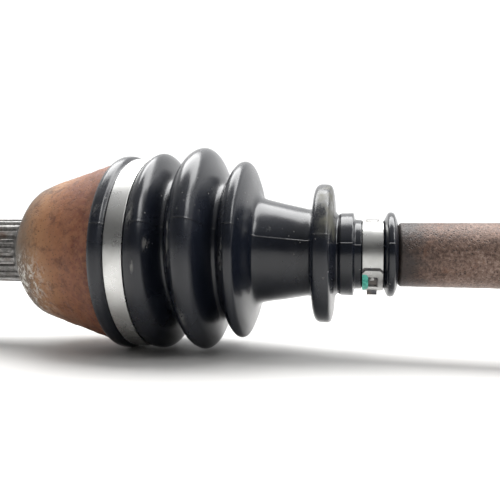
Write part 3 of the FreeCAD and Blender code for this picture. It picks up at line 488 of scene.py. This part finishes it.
def stub_relief(x, r, around):
    """Splines as a periodic smooth step across each tooth, and a thread as a helical ridge."""
    pitch = 2 * math.pi / TEETH
    offset = np.abs((around - math.pi / 2 + pitch / 2) % pitch - pitch / 2)
    tooth = smooth_step(math.radians(2.3), math.radians(4.9), offset)
    along = smooth_step(-2.6, -4.8, x) * smooth_step(-31.4, -30.4, x)
    splined = r - 1.1 * (1 - tooth) * along
    turn = np.abs((x / 1.5 + around / (2 * math.pi)) % 1 - 0.5) * 2
    threaded = smooth_step(-33.9, -34.9, x) * smooth_step(STUB_END + 0.2, STUB_END + 1.8, x)
    return splined - 0.85 * smooth_step(0.12, 0.88, turn) * threaded


def make_stub():
    line = rounded([
        (STUB_END + 5.0, 0, 0), (STUB_END + 4.2, 1.2, 0.2), (STUB_END + 1.6, 1.5, 0.3),
        (STUB_END, 3.6, 0.2), (STUB_END, 8.6, 0.4), (STUB_END + 1.5, 9.9, 0.3),
        (-33.7, 9.9, 0.4), (-33.2, 8.95, 0.4), (-32.2, 8.95, 0.5), (-31.2, 12.2, 0.5),
        (-30.4, 12.5, 0.4), (-3.2, 12.5, 1.0), (-1.3, 14.0, 1.2), (0.3, 16.2, 0.3),
        (0.9, 15.6, 0.2), (1.2, 0, 0)])
    thread = np.argmax(line[:, 0] > -33.7)
    line = np.vstack([even(line[:thread + 1], 0.22), even(line[thread:], 0.5)[1:]])
    stub = turned("wheel_stub", line, all_round(STUB_COLUMNS), stub_relief, 28)
    dress(stub, SPLINE, "wheel_bell", "forged_steel", "outboard_bell")


def bell_relief(x, r, around):
    """Forging unevenness outside, and six ball tracks in the bore.

    A track is a tube swept along an arc whose plane holds the axis. On its wall, (distance from
    the arc's centre in that plane - arc radius) squared plus the sideways distance squared is
    the tube's radius squared; this is a quadratic in the whole distance squared, and the wall
    is its larger root."""
    outside = (r > 14.8) & (x < BELL_MOUTH - 15)
    skin = ripple(x, around, 3, 0.10) * smooth_step(0, 3, x)
    inside = r < np.sqrt(np.maximum((BORE + 0.2) ** 2 - (x - JOINT) ** 2, 0)) + 0.01
    spacing = math.pi / 3
    off = np.abs((around - math.pi + spacing / 2) % spacing - spacing / 2)
    away = x - JOINT - TRACK_OFFSET
    rest = TRACK_ARC ** 2 - TRACK ** 2
    half = 2 * (TRACK_ARC * np.cos(off)) ** 2 - rest
    root = half ** 2 - rest ** 2 + (2 * TRACK_ARC * away * np.sin(off)) ** 2
    whole = half + np.sqrt(np.maximum(root, 0))
    groove = np.where(root > 0, np.sqrt(np.maximum(whole - away ** 2, 0)), 0)
    in_track = (np.abs(x - JOINT) < TRACK_REACH) & (r < 30.5) & bore_side(x, r)
    return np.where(in_track, np.maximum(r, groove), np.where(outside & ~inside, r + skin, r))


def bore_side(x, r):
    """True on the inner wall: inside the line from the nose to the mouth's rim."""
    return r < 31.0 - 0.27 * (BELL_MOUTH - x)


def make_bell():
    outer = rounded([
        (0.7, 0, 0), (0.7, 11.8, 0.1), (0, 12.6, 0.4), (0, 15.4, 0.6), (0.8, 16.9, 1.6),
        (3.5, 20.6, 3.0), (6.2, 23.9, 3.0), (9.6, 25.85, 4.0), (24, 30.1, 5.0),
        (38.9, 34.55, 0.8), (39.6, 34.0, 0.6), (39.6, 32.2, 0.3), (BELL_MOUTH, 32.2, 0.5),
        (BELL_MOUTH, 30.3, 0.3), (JOINT + 8.5, 21.8, 0.2)])
    sweep = np.linspace(math.asin(8.5 / BORE), -math.pi / 2, 40)[1:]
    bore = np.stack([JOINT + BORE * np.sin(sweep), BORE * np.cos(sweep)], axis=1)
    bore[-1, 1] = 0
    line = np.vstack([even(outer, 0.7), bore])
    bell = turned("bell", line, all_round(312), bell_relief, 40)
    dress(bell, RUST, "wheel_bell", "forged_steel", "outboard_bell")


# ---------------------------------------------------------------- boots

PARTING = math.radians(15)


def boot_angles(count=180):
    """Even angles with finer ones beside the two parting lines of the mould."""
    fine = np.radians(np.array([-0.9, -0.5, -0.25, 0, 0.25, 0.5, 0.9]))
    extra = np.concatenate([PARTING + fine, PARTING + math.pi + fine])
    angles = np.sort(np.concatenate([all_round(count), extra]) % (2 * math.pi))
    return angles[np.concatenate([[True], np.diff(angles) > 0.001])]


def parting_ridge(around):
    """A thin ridge where the mould's halves met, on both sides of the boot."""
    off = np.abs((around - PARTING + math.pi / 2) % math.pi - math.pi / 2)
    return np.exp(-(off / math.radians(0.35)) ** 2)


def make_boot(name, outer, inner, marks, sag, stain=None):
    """A closed rubber skin: the outer profile, then the inner one back again.

    The sag is a table of (distance, rise, slope) along the axis: soft ribs on a floor rise by
    the rise and lean by the slope times the height. Marks are scuffed places (distance, angle,
    half length, half width)."""
    angles = boot_angles()
    outer, inner = even(outer, 0.7), even(inner, 2.0)
    line = np.vstack([outer, inner])

    def relief(x, r, around):
        outside = (np.arange(len(line)) < len(outer))[:, None]
        soft = ripple(x, around, 11, 0.035, finest=5.0)
        return r + outside * (0.11 * parting_ridge(around) + soft)

    boot = outward(turned(name, line, angles, relief, 60))
    x = np.repeat(line[:, 0], len(angles))
    around = np.tile(angles, len(line))
    scuffed = np.zeros_like(x)
    for at, angle, long, wide in marks:
        off = (around - math.radians(angle) + math.pi) % (2 * math.pi) - math.pi
        scuffed += np.exp(-((x - at) / wide) ** 2 - (off / math.radians(long)) ** 2)
    set_attribute(boot, "scuffed", scuffed)
    dusty = np.zeros_like(x)
    if stain:
        dusty = (smooth_step(stain[0] - 1, stain[0] + 1, x)
                 * smooth_step(stain[1] + 1, stain[1] - 1, x)
                 * smooth_step(0.15, 0.5, around) * smooth_step(1.5, 1.0, around))
    set_attribute(boot, "stain", dusty)
    parting = parting_ridge(around) * (np.arange(len(x)) < len(outer) * len(angles))
    set_attribute(boot, "parting", parting)
    points = np.empty(len(x) * 3)
    boot.data.vertices.foreach_get("co", points)
    points = points.reshape(-1, 3)
    places, rises, slopes = (np.array(column) for column in zip(*sag))
    points[:, 0] -= np.interp(x, places, slopes) * points[:, 2]
    points[:, 2] += np.interp(x, places, rises) * MM
    boot.data.vertices.foreach_set("co", points.reshape(-1))
    boot.data.update()
    wear(boot, RUBBER)
    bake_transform(boot)
    return boot


def make_wheel_boot():
    end = span("outboard_boot")[1][0]
    outer = rounded([
        (39.0, 34.85, 0), (39.1, 35.7, 0.4), (40.6, 36.5, 0.9), (42.9, 36.3, 0.7),
        (43.9, 34.9, 0.5), (44.6, 34.4, 0.3), (51.0, 34.4, 0.3), (51.6, 35.3, 0.6),
        (54.2, 36.5, 2.0), (56.4, 36.4, 2.0), (58.6, 33.6, 2.2), (60.6, 27.8, 1.6),
        (62.6, 26.9, 1.2), (64.4, 31.8, 2.2), (67.4, 36.1, 2.6), (71.0, 37.6, 2.8),
        (73.8, 36.0, 2.6), (76.0, 30.9, 2.4), (78.0, 25.9, 1.6), (80.2, 25.4, 1.4),
        (82.2, 30.2, 1.8), (84.2, 32.4, 1.6), (86.5, 32.2, 1.6), (88.5, 27.4, 2.2),
        (90.2, 20.4, 1.8), (92.0, 19.0, 2.0), (108.6, 15.6, 1.0), (110.3, 16.2, 0.9),
        (110.8, 23.2, 1.6), (112.2, 24.8, 1.4), (116.4, 24.8, 1.6), (117.2, 22.4, 1.6),
        (117.7, 15.6, 1.0), (118.9, 13.9, 0.7), (119.9, 14.65, 0.5), (124.2, 14.75, 0.45),
        (124.7, 12.35, 0.5), (127.0, 12.2, 0.3), (127.3, 11.7, 0.2), (134.6, 11.7, 0.3),
        (135.2, 12.9, 0.8), (136.1, 14.9, 0.9), (138.0, 14.8, 0.8), (138.8, 13.0, 1.0),
        (end, 11.6, 0.6), (end, 9.9, 0)])
    inner = np.array([
        (end, 9.8), (117.0, 9.8), (114.2, 21.6), (111.4, 13.8), (91.0, 17.0), (85.6, 29.6),
        (81.4, 24.2), (77.6, 23.8), (72.0, 34.6), (68.6, 33.8), (63.6, 25.4), (60.0, 25.6),
        (56.0, 34.0), (54.5, 32.45), (41.0, 32.45), (40.2, 34.8), (39.0, 34.75)])
    marks = [(66.4, -2, 7, 0.7), (66.4, 12, 5, 0.5), (83.0, -3, 9, 0.6), (41.6, 22, 2.2, 1.1),
             (53.4, 19, 5, 1.1), (58.6, 3, 3, 0.5), (55.0, -8, 3, 0.5), (69.5, -38, 5, 0.9)]
    sag = [(51.6, 0, 0), (57, 0.9, 0.030), (61.5, 1.4, 0.040), (67, 1.6, 0.022),
           (72, 1.6, 0.010), (80, 1.4, 0.002), (87, 1.2, -0.012), (95, 0.8, -0.010),
           (108, 0.4, -0.004), (117, 0, 0)]
    boot = make_boot("wheel_boot", outer, inner, marks, sag,
                     stain=(112.5, 118))
    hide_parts("outboard_boot")


def gearbox_ribs(wall):
    """Corners of the five growing ribs, moved inwards by the wall."""
    corners = []
    pitch, crests = 12.6, (21.5, 26.9, 31.4, 34.6, 36.2)
    for index, crest in enumerate(crests):
        at = 380 + pitch * index
        corners += [(at - 2.9, crest - 2.2 - wall, 1.5), (at - 1.1, crest + 0.4 - wall, 1.6),
                    (at + 1.1, crest + 0.4 - wall, 1.6), (at + 2.7, crest - 2.4 - wall, 1.5)]
        if index < 4:
            dip = (crest + crests[index + 1]) / 2 - 5.6 - wall
            corners += [(at + pitch / 2 - 1, dip, 1.2), (at + pitch / 2 + 1.2, dip, 1.2)]
    return corners


def make_gearbox_boot():
    """Small cuff with the ribs that bend, and large cuff with the ribs that the slide closes."""
    start, end = span("inboard_boot")[0][0], span("inboard_boot")[1][0]
    outer = rounded([
        (start, 9.9, 0), (start, 12.0, 0.5), (start + 0.8, 14.4, 0.7), (start + 2.3, 14.4, 0.7),
        (start + 4.3, 11.7, 0.5), (start + 11.9, 11.7, 0.5), (start + 13.6, 14.6, 0.7),
        (start + 20, 14.65, 1.2), (375.6, 15.2, 0.8)] + gearbox_ribs(0) + [
        (434.8, 31.0, 0.9), (437.0, 32.2, 0.6), (437.4, 35.9, 0.6), (438.3, 36.2, 0.5),
        (439.5, 36.2, 0.5), (440.2, 35.3, 0.3), (447.6, 35.3, 0.3), (448.4, 36.2, 0.5),
        (451.2, 36.2, 0.6), (end, 35.4, 0.4), (end, 34.3, 0)])
    inner = rounded([(start, 9.8, 0), (start + 20.6, 9.8, 0.5), (374.4, 12.0, 0.5)]
                    + gearbox_ribs(1.7) + [(434.8, 29.3, 0.8), (437.0, 30.5, 0.6),
                                           (437.8, 34.25, 0.3), (end, 34.25, 0)])
    cut = 416.4
    at, under = np.argmax(outer[:, 0] > cut), np.argmax(inner[:, 0] > cut)
    halves = {
        "gearbox_boot_small": (outer[:at + 1], inner[:under + 1],
                               ("shaft", "trunnion_bearing_a", 380, 416)),
        "gearbox_boot_large": (outer[at:], inner[under:],
                               ("trunnion_bearing_a", "gearbox_housing", 416.8, 440)),
    }
    for name, (outside, inside, blends) in halves.items():
        marks = [(392.6, 10, 12, 0.7), (430.4, -30, 9, 0.9), (417.8, 150, 12, 0.8)]
        boot = make_boot(name, outside, inside[::-1], marks, [(start, 0, 0)])
        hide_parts("inboard_boot")


# ---------------------------------------------------------------- clamps

def dress(piece, material, body, slot, *nodes):
    """Finish a rigid piece: material, moving body, slot (not used) and the nodes it stands for."""
    outward(piece)
    wear(piece, material)
    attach(piece, body)
    if nodes:
        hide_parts(*nodes)


def make_strip(name, start, inner, thickness, body, node, finish, width=7.0):
    """The strip of a clamp: a rounded rectangle carried round the axis."""
    outer = inner + thickness
    line = rounded([
        (start, inner + thickness / 2, 0), (start, outer, 0.22),
        (start + width / 2, outer + 0.04, 2), (start + width, outer, 0.22),
        (start + width, inner, 0.15), (start, inner, 0.15),
        (start, inner + thickness / 2, 0)], 5)[:-1]
    dress(turned(name, line, all_round(240), smooth_angle=50), finish, body, "bright_steel", node)


def outline(sides, directions):
    """Distance to a convex outline: the smallest of each side's distance over the cosine
    between the direction and the side's normal. Sides are (normal degrees, distance)."""
    reach = np.full(len(directions), 1e9)
    for normal, distance in sides:
        cosine = np.cos(directions - math.radians(normal))
        reach = np.where(cosine > 1e-6, np.minimum(reach, distance / np.maximum(cosine, 1e-6)),
                         reach)
    return reach


def make_plate(name, centre, base, thickness, outer, window, columns=160):
    """A curved plate with a window, bent round the axle's axis.

    Round the centre (distance, angle), a point at share t between the window and the outer
    outline lies on the top or the underside; the loop across both closes through two rounded
    edges. The plate's flat width maps to distance, its length to arc on the base radius. A
    window whose distances are all 0 makes the plate solid."""
    directions = all_round(columns)
    inside, outside = outline(window, directions), outline(outer, directions)
    edge = min(0.18, thickness * 0.4)
    rows = np.linspace(0, 1, 7)
    across = ([(t, edge * (1 - 2 * t), thickness) for t in rows] + [(1, 0, thickness - edge)]
              + [(t, 0, 0) for t in rows[::-1]] + [(0, 0, thickness - edge)])
    share, inset, height = (np.array(column)[:, None] for column in zip(*across))
    reach = inside + (outside - inside) * share + inset
    along, aside = reach * np.cos(directions), reach * np.sin(directions)
    angle = math.radians(centre[1]) + aside / base
    radius = base + height + 0 * reach
    points = np.stack([centre[0] + along, -radius * np.cos(angle), radius * np.sin(angle)],
                      axis=-1)
    faces = grid_faces(len(across), columns, loop_rows=True)
    return mesh_piece(name, points.reshape(-1, 3), faces, smooth_angle=30)


def swept(name, path, half_width, thickness, start, width_ease=0.25):
    """A strip carried along a path of (radius, angle) points round the axis.

    Its section is a rounded rectangle: the distance runs over the strip's width, the other side
    is the thickness, laid along the path's own normal. Both ends are closed by fans."""
    radius, angle = path[:, 0], np.radians(path[:, 1])
    flat = np.stack([-radius * np.cos(angle), radius * np.sin(angle)], axis=1)
    ahead = np.gradient(flat, axis=0)
    ahead /= np.linalg.norm(ahead, axis=1)[:, None]
    normal = np.stack([-ahead[:, 1], ahead[:, 0]], axis=1)
    e, w, h = width_ease, half_width, thickness / 2
    section = np.array([(w - e, h), (w - e * 0.3, h - e * 0.12), (w, h * 0.4), (w, -h * 0.4),
                        (w - e * 0.3, -h + e * 0.12), (w - e, -h), (-w + e, -h),
                        (-w + e * 0.3, -h + e * 0.12), (-w, -h * 0.4), (-w, h * 0.4),
                        (-w + e * 0.3, h - e * 0.12), (-w + e, h)])
    centre = start + half_width
    x = centre + section[None, :, 0] + 0 * radius[:, None]
    yz = flat[:, None, :] + normal[:, None, :] * section[None, :, 1, None]
    points = np.concatenate([x[..., None], yz], axis=-1)
    rows, columns = x.shape
    ring = np.arange(columns)
    ends = [((centre, *flat[0]), ring), ((centre, *flat[-1]), ring[::-1] + (rows - 1) * columns)]
    return mesh_piece(name, points.reshape(-1, 3), grid_faces(rows, columns, False), ends, 40)


def make_small_clamp(name, start, base, middle, body, node):
    """Strip, windowed buckle, wedge tongue in its window, hook below it and a paint mark."""
    # The strip and buckle wear the darker copy of the clamp steel: painted shade.
    make_strip(name + "_strip", start, base, 0.65, body, node, SHADED_SMALL_STRIP)
    outer = base + 0.65
    square = [(0, 3.75), (180, 3.25), (90, 5.2), (270, 5.4), (45, 5.6), (135, 5.3),
              (315, 6.0), (225, 5.6)]
    window = [(0, 1.85), (180, 1.85), (90, 2.5), (270, 2.3), (45, 2.85), (135, 2.85),
              (315, 2.8), (225, 2.8)]
    # Painted shadow: a dark plate under the buckle, reaching past one long edge and solid under its
    # window, stands in for the shade in the gap and inside the window.
    under = square[:2] + [(90, 5.75), (270, 5.0), (45, 5.9), (135, 5.9)]
    solid = [(normal, 0) for normal, _ in square]
    middle_at = (start + 3.25, middle)
    dress(make_plate(name + "_gap", middle_at, outer, 0.14, under, solid), WIRE, body,
          "bright_steel")
    dress(make_plate(name + "_buckle", middle_at, outer + 0.1, 0.7, square, window), SHADED_SMALL_STRIP,
          body, "bright_steel")
    # Painted shade: a thin dark frame stands in for the shaded walls of a pressed slot in the
    # strip.
    frame_outer = [(0, 2.2), (180, 2.2), (90, 1.3), (270, 1.3)]
    frame_inner = [(0, 1.85), (180, 1.85), (90, 0.95), (270, 0.95)]
    dress(make_plate(name + "_press_mark_painted_shade", (start + 3.3, middle + 120), outer, 0.09, frame_outer,
                     frame_inner, 64), WIRE, body, "bright_steel")
    arrow = [(270, 0.3), (38, 0.75), (142, 0.75), (0, 0.8), (180, 0.8)]
    lean = (start + 3.2, middle + 6.5)
    dress(make_plate(name + "_tongue", lean, outer + 0.14, 0.5, arrow, solid[:5], 90), STRIP,
          body, "bright_steel")
    bend = np.linspace(0, 1, 16)
    turn_away = np.array([(outer + 0.3 + 1.5 * math.sin(math.pi * s) ** 0.8,
                           middle - 24.5 - 9.5 * s) for s in bend])
    dress(swept(name + "_hook", turn_away, 1.7, 0.45, start + 1.6, 0.15), WIRE, body,
          "bright_steel")
    mark = [(0, 1.0), (180, 0.95), (90, 4.0), (270, 4.8), (30, 2.4), (150, 3.0), (330, 2.3)]
    dress(make_plate(name + "_paint", (start + 1.0, middle - 0.5), outer + 0.76, 0.08, mark,
                     solid[:5], 72), PAINT, body, "bright_steel")


def make_ear(name, start, outer, middle, body):
    """Pinched ear of a large clamp: a strip that leaves the ring, necks in and bridges over."""
    half = np.degrees(1 / outer)
    corners = [(outer - 0.35, -6.5 * half, 0), (outer + 0.1, -4.4 * half, 0.9),
               (outer + 1.5, -3.0 * half, 0.8), (outer + 3.6, -4.2 * half, 1.0),
               (outer + 3.9, 0, 1.5), (outer + 3.6, 4.2 * half, 1.0),
               (outer + 1.5, 3.0 * half, 0.8), (outer + 0.1, 4.4 * half, 0.9),
               (outer - 0.35, 6.5 * half, 0)]
    flat = [(a / half, r, reach) for r, a, reach in corners]
    smooth = rounded(flat, 8)
    path = np.stack([smooth[:, 1], middle + smooth[:, 0] * half], axis=1)
    dress(swept(name, path, 3.5, 0.8, start), STRIP, body, "bright_steel")


# ---------------------------------------------------------------- bar and gearbox side

def make_bar_skin():
    """The bar's skin: an uneven rusty surface over a turned profile, closed at both ends."""
    low, high = span("shaft_bar")
    corners = [(low[0] + 0.02, 0, 0), (low[0] + 0.02, 8.4, 0.3), (low[0] + 1.2, 9.3, 0.4),
               (139.2, 9.6, 0.5), (140.2, 11.15, 0.6), (351.8, 11.15, 0.6), (352.8, 9.6, 0.5),
               (high[0] - 1.2, 9.3, 0.4), (high[0] - 0.02, 8.4, 0.3), (high[0] - 0.02, 0, 0)]
    line = even(rounded(corners), 1.0)

    def relief(x, r, around):
        worn = ripple(x, around, 5, 0.035, 22, 1.8) * smooth_step(141, 143, x)
        return r + worn * smooth_step(351, 349, x)

    bar = turned("bar", line, all_round(144), relief)
    dress(bar, BAR, "shaft", "rusty_bar")


def lobes(radius, core, around, ease=1.2):
    """Three-lobed outline: the larger of the core and of the lobe circle's far side.

    The far side of a circle centred off the axis is its centre's distance times the cosine plus
    the root of the radius squared less the sine part squared; the larger is taken softly."""
    spacing = 2 * math.pi / 3
    off = np.abs((around - math.pi + spacing / 2) % spacing - spacing / 2)
    inside = np.maximum(radius ** 2 - (ROLLER_CIRCLE * np.sin(off)) ** 2, 0)
    lobe = np.where(inside > 0, ROLLER_CIRCLE * np.cos(off) + np.sqrt(inside), 0)
    gap = lobe - core
    return core + (gap + np.sqrt(gap ** 2 + ease ** 2)) / 2


def make_housing():
    """Three-lobed tulip with rounded shoulders and tracks, seal journal and splined stub."""
    mouth, floor_at, back = 438.0, 502.0, 509.0
    lobe, roller_track, teeth = 16.6, 13.2, 25
    reach = ROLLER_CIRCLE + lobe
    deep = ROLLER_CIRCLE + roller_track
    end = span("inboard_housing")[1][0]
    outer = rounded([
        (floor_at, 0, 0), (floor_at, deep, 2.0), (mouth + 0.6, deep, 0.5), (mouth, deep + 0.7, 0.3),
        (mouth, reach - 0.8, 0.4), (mouth + 0.9, reach, 0.5), (back - 4.0, reach, 3.0),
        (back, reach - 5.0, 3.0), (back, 23.5, 0.4), (back + 2.6, 17.0, 1.2),
        (back + 3.4, 15.4, 0.5), (back + 4.2, 15.0, 0.4), (523.6, 15.0, 0.4),
        (524.6, 12.2, 0.6), (525.4, 12.0, 0.3), (552.9, 12.0, 0.2), (553.1, 9.9, 0.2),
        (555.0, 9.9, 0.2), (555.2, 12.0, 0.2), (end - 1.6, 12.0, 0.3), (end, 10.4, 0.4),
        (end, 0, 0)])
    line = even(outer, 0.95)
    rows = np.arange(len(line))
    rim = rows[(line[:, 0] <= mouth + 1e-6)].max()

    def relief(x, r, around):
        inside = (rows <= rim)[:, None] & (r <= deep + 0.71)
        track = np.maximum(lobes(roller_track, 19.8, around),
                           np.where(x < mouth + 14, 23.8 - (x - mouth) * 4 / 14, 0))
        skin = lobes(lobe, 27.5, around, 2.4)
        hollow = r * track / deep
        solid = 23 + (r - 23) * (skin - 23) / (reach - 23)
        shaped = np.where(inside, hollow, np.where((r > 23) & (x < back + 0.1), solid, r))
        pitch = 2 * math.pi / teeth
        off = np.abs((around + pitch / 2) % pitch - pitch / 2)
        tooth = smooth_step(math.radians(2.2), math.radians(4.6), off)
        along = smooth_step(526.5, 528.5, x) * (r > 10.5) * (x < end - 0.2)
        return shaped - 1.0 * (1 - tooth) * along

    housing = turned("gearbox_joint_housing", line, all_round(10 * teeth), relief, 35)
    dress(housing, HOUSING, "gearbox_housing", "forged_steel", "inboard_housing")


make_stub()
make_bell()
make_wheel_boot()
make_strip("wheel_large_strip", 44.7, 34.58, 0.8, "wheel_bell", "outboard_large_clamp", STRIP,
           6.5)
make_ear("wheel_large_ear", 44.4, 35.38, 160, "wheel_bell")
make_small_clamp("wheel_small_clamp", 127.4, 11.75, -48, "shaft", "outboard_small_clamp")
make_bar_skin()
make_gearbox_boot()
make_strip("gearbox_large_strip", 440.4, 35.38, 0.8, "gearbox_housing",
           "inboard_large_clamp", STRIP)
make_ear("gearbox_large_ear", 440.4, 36.18, 120, "gearbox_housing")
make_small_clamp("gearbox_small_clamp", 357.4, 11.75, 125, "shaft", "inboard_small_clamp")
make_housing()

# ---------------------------------------------------------------- floor, light, camera

FLOOR_DROP = -36.5 * MM
AXIS_FOOT = 127.9 * MM
CAMERA_DISTANCE = 203.8 * MM
CAMERA_HEIGHT = 1.1 * MM
CAMERA_TURN = math.radians(11.5)
CAMERA_ROLL = math.radians(-0.6)
LENS = 40.32
FLOOR_SIZE = 6.0


def make_floor():
    """A plain pale floor that fades to white by a painted glow, growing with the distance from the
    object's middle.
    """
    corners = [(x * FLOOR_SIZE, y * FLOOR_SIZE, FLOOR_DROP)
               for x, y in ((-1, -1), (1, -1), (1, 1), (-1, 1))]
    mesh = bpy.data.meshes.new("floor")
    mesh.from_pydata(corners, [], [(0, 1, 2, 3)])
    floor = bpy.data.objects.new("floor", mesh)
    bpy.context.collection.objects.link(floor)
    f = Finish("pale_floor")
    away = f.tree.nodes.new("ShaderNodeVectorMath")
    away.operation = "DISTANCE"
    f.feed(away.inputs[0], f.place)
    f.feed(away.inputs[1], (0.26, 0, FLOOR_DROP))
    # Painted light: the floor's emission rises from 0 to 1 between 0.42 m and 1.5 m from the
    # object's middle.
    far = f.between(away.outputs["Value"], 0.42, 1.5)
    wear(floor, f.set(Base_Color=(0.58, 0.575, 0.565, 1), Roughness=0.6,
                      Emission_Color=(1, 1, 1, 1), Emission_Strength=far))


def make_world():
    """White behind the object; as a light it is bright above and behind, dark in front."""
    world = bpy.data.worlds.new("studio")
    bpy.context.scene.world = world
    world.use_nodes = True
    tree = world.node_tree
    ground = tree.nodes["Background"]
    out = tree.nodes["World Output"]
    coordinates = tree.nodes.new("ShaderNodeTexCoord")
    split = tree.nodes.new("ShaderNodeSeparateXYZ")
    tree.links.new(coordinates.outputs["Generated"], split.inputs["Vector"])

    def share(letter, low, high, first, last):
        made = tree.nodes.new("ShaderNodeMapRange")
        for key, number in (("From Min", low), ("From Max", high), ("To Min", first),
                            ("To Max", last)):
            made.inputs[key].default_value = number
        tree.links.new(split.outputs[letter], made.inputs["Value"])
        return made.outputs["Result"]

    total = tree.nodes.new("ShaderNodeMath")
    total.operation = "ADD"
    tree.links.new(share("Y", -0.2, 0.7, 0.10, 1.3), total.inputs[0])
    tree.links.new(share("Z", 0.5, 0.95, 0.0, 0.6), total.inputs[1])
    tree.links.new(total.outputs["Value"], ground.inputs["Strength"])
    backdrop = tree.nodes.new("ShaderNodeBackground")
    backdrop.inputs["Strength"].default_value = 1.15
    path = tree.nodes.new("ShaderNodeLightPath")
    mix = tree.nodes.new("ShaderNodeMixShader")
    tree.links.new(path.outputs["Is Camera Ray"], mix.inputs["Fac"])
    tree.links.new(ground.outputs["Background"], mix.inputs[1])
    tree.links.new(backdrop.outputs["Background"], mix.inputs[2])
    tree.links.new(mix.outputs["Shader"], out.inputs["Surface"])
    for node in (ground, backdrop):
        node.inputs["Color"].default_value = (1, 1, 1, 1)


def area_light(name, place, target, size, power):
    light = bpy.data.lights.new(name, "AREA")
    light.shape = "RECTANGLE"
    light.size, light.size_y = size
    light.energy = power
    item = bpy.data.objects.new(name, light)
    item.location = place
    item.rotation_mode = "QUATERNION"
    item.rotation_quaternion = (Vector(target) - Vector(place)).to_track_quat("-Z", "Y")
    bpy.context.collection.objects.link(item)


def make_camera():
    lens = bpy.data.cameras.new("camera")
    lens.sensor_width = 36
    lens.lens = LENS
    lens.clip_start, lens.clip_end = 0.005, 20
    camera = bpy.data.objects.new("camera", lens)
    look = Vector((-math.sin(CAMERA_TURN), math.cos(CAMERA_TURN), 0))
    camera.location = (AXIS_FOOT, -CAMERA_DISTANCE, CAMERA_HEIGHT)
    camera.rotation_mode = "QUATERNION"
    turn = look.to_track_quat("-Z", "Y")
    camera.rotation_quaternion = Quaternion(look, CAMERA_ROLL) @ turn
    bpy.context.collection.objects.link(camera)
    bpy.context.scene.camera = camera


make_floor()
make_world()
area_light("ceiling_light", (0.14, 0.19, 0.66), (0.12, 0.0, 0.0), (1.3, 0.44), 13.5)
area_light("side_light", (0.52, -0.16, 0.36), (0.08, 0.0, 0.0), (0.22, 0.22), 1.2)
make_camera()
bpy.context.scene.view_settings.view_transform = "Standard"
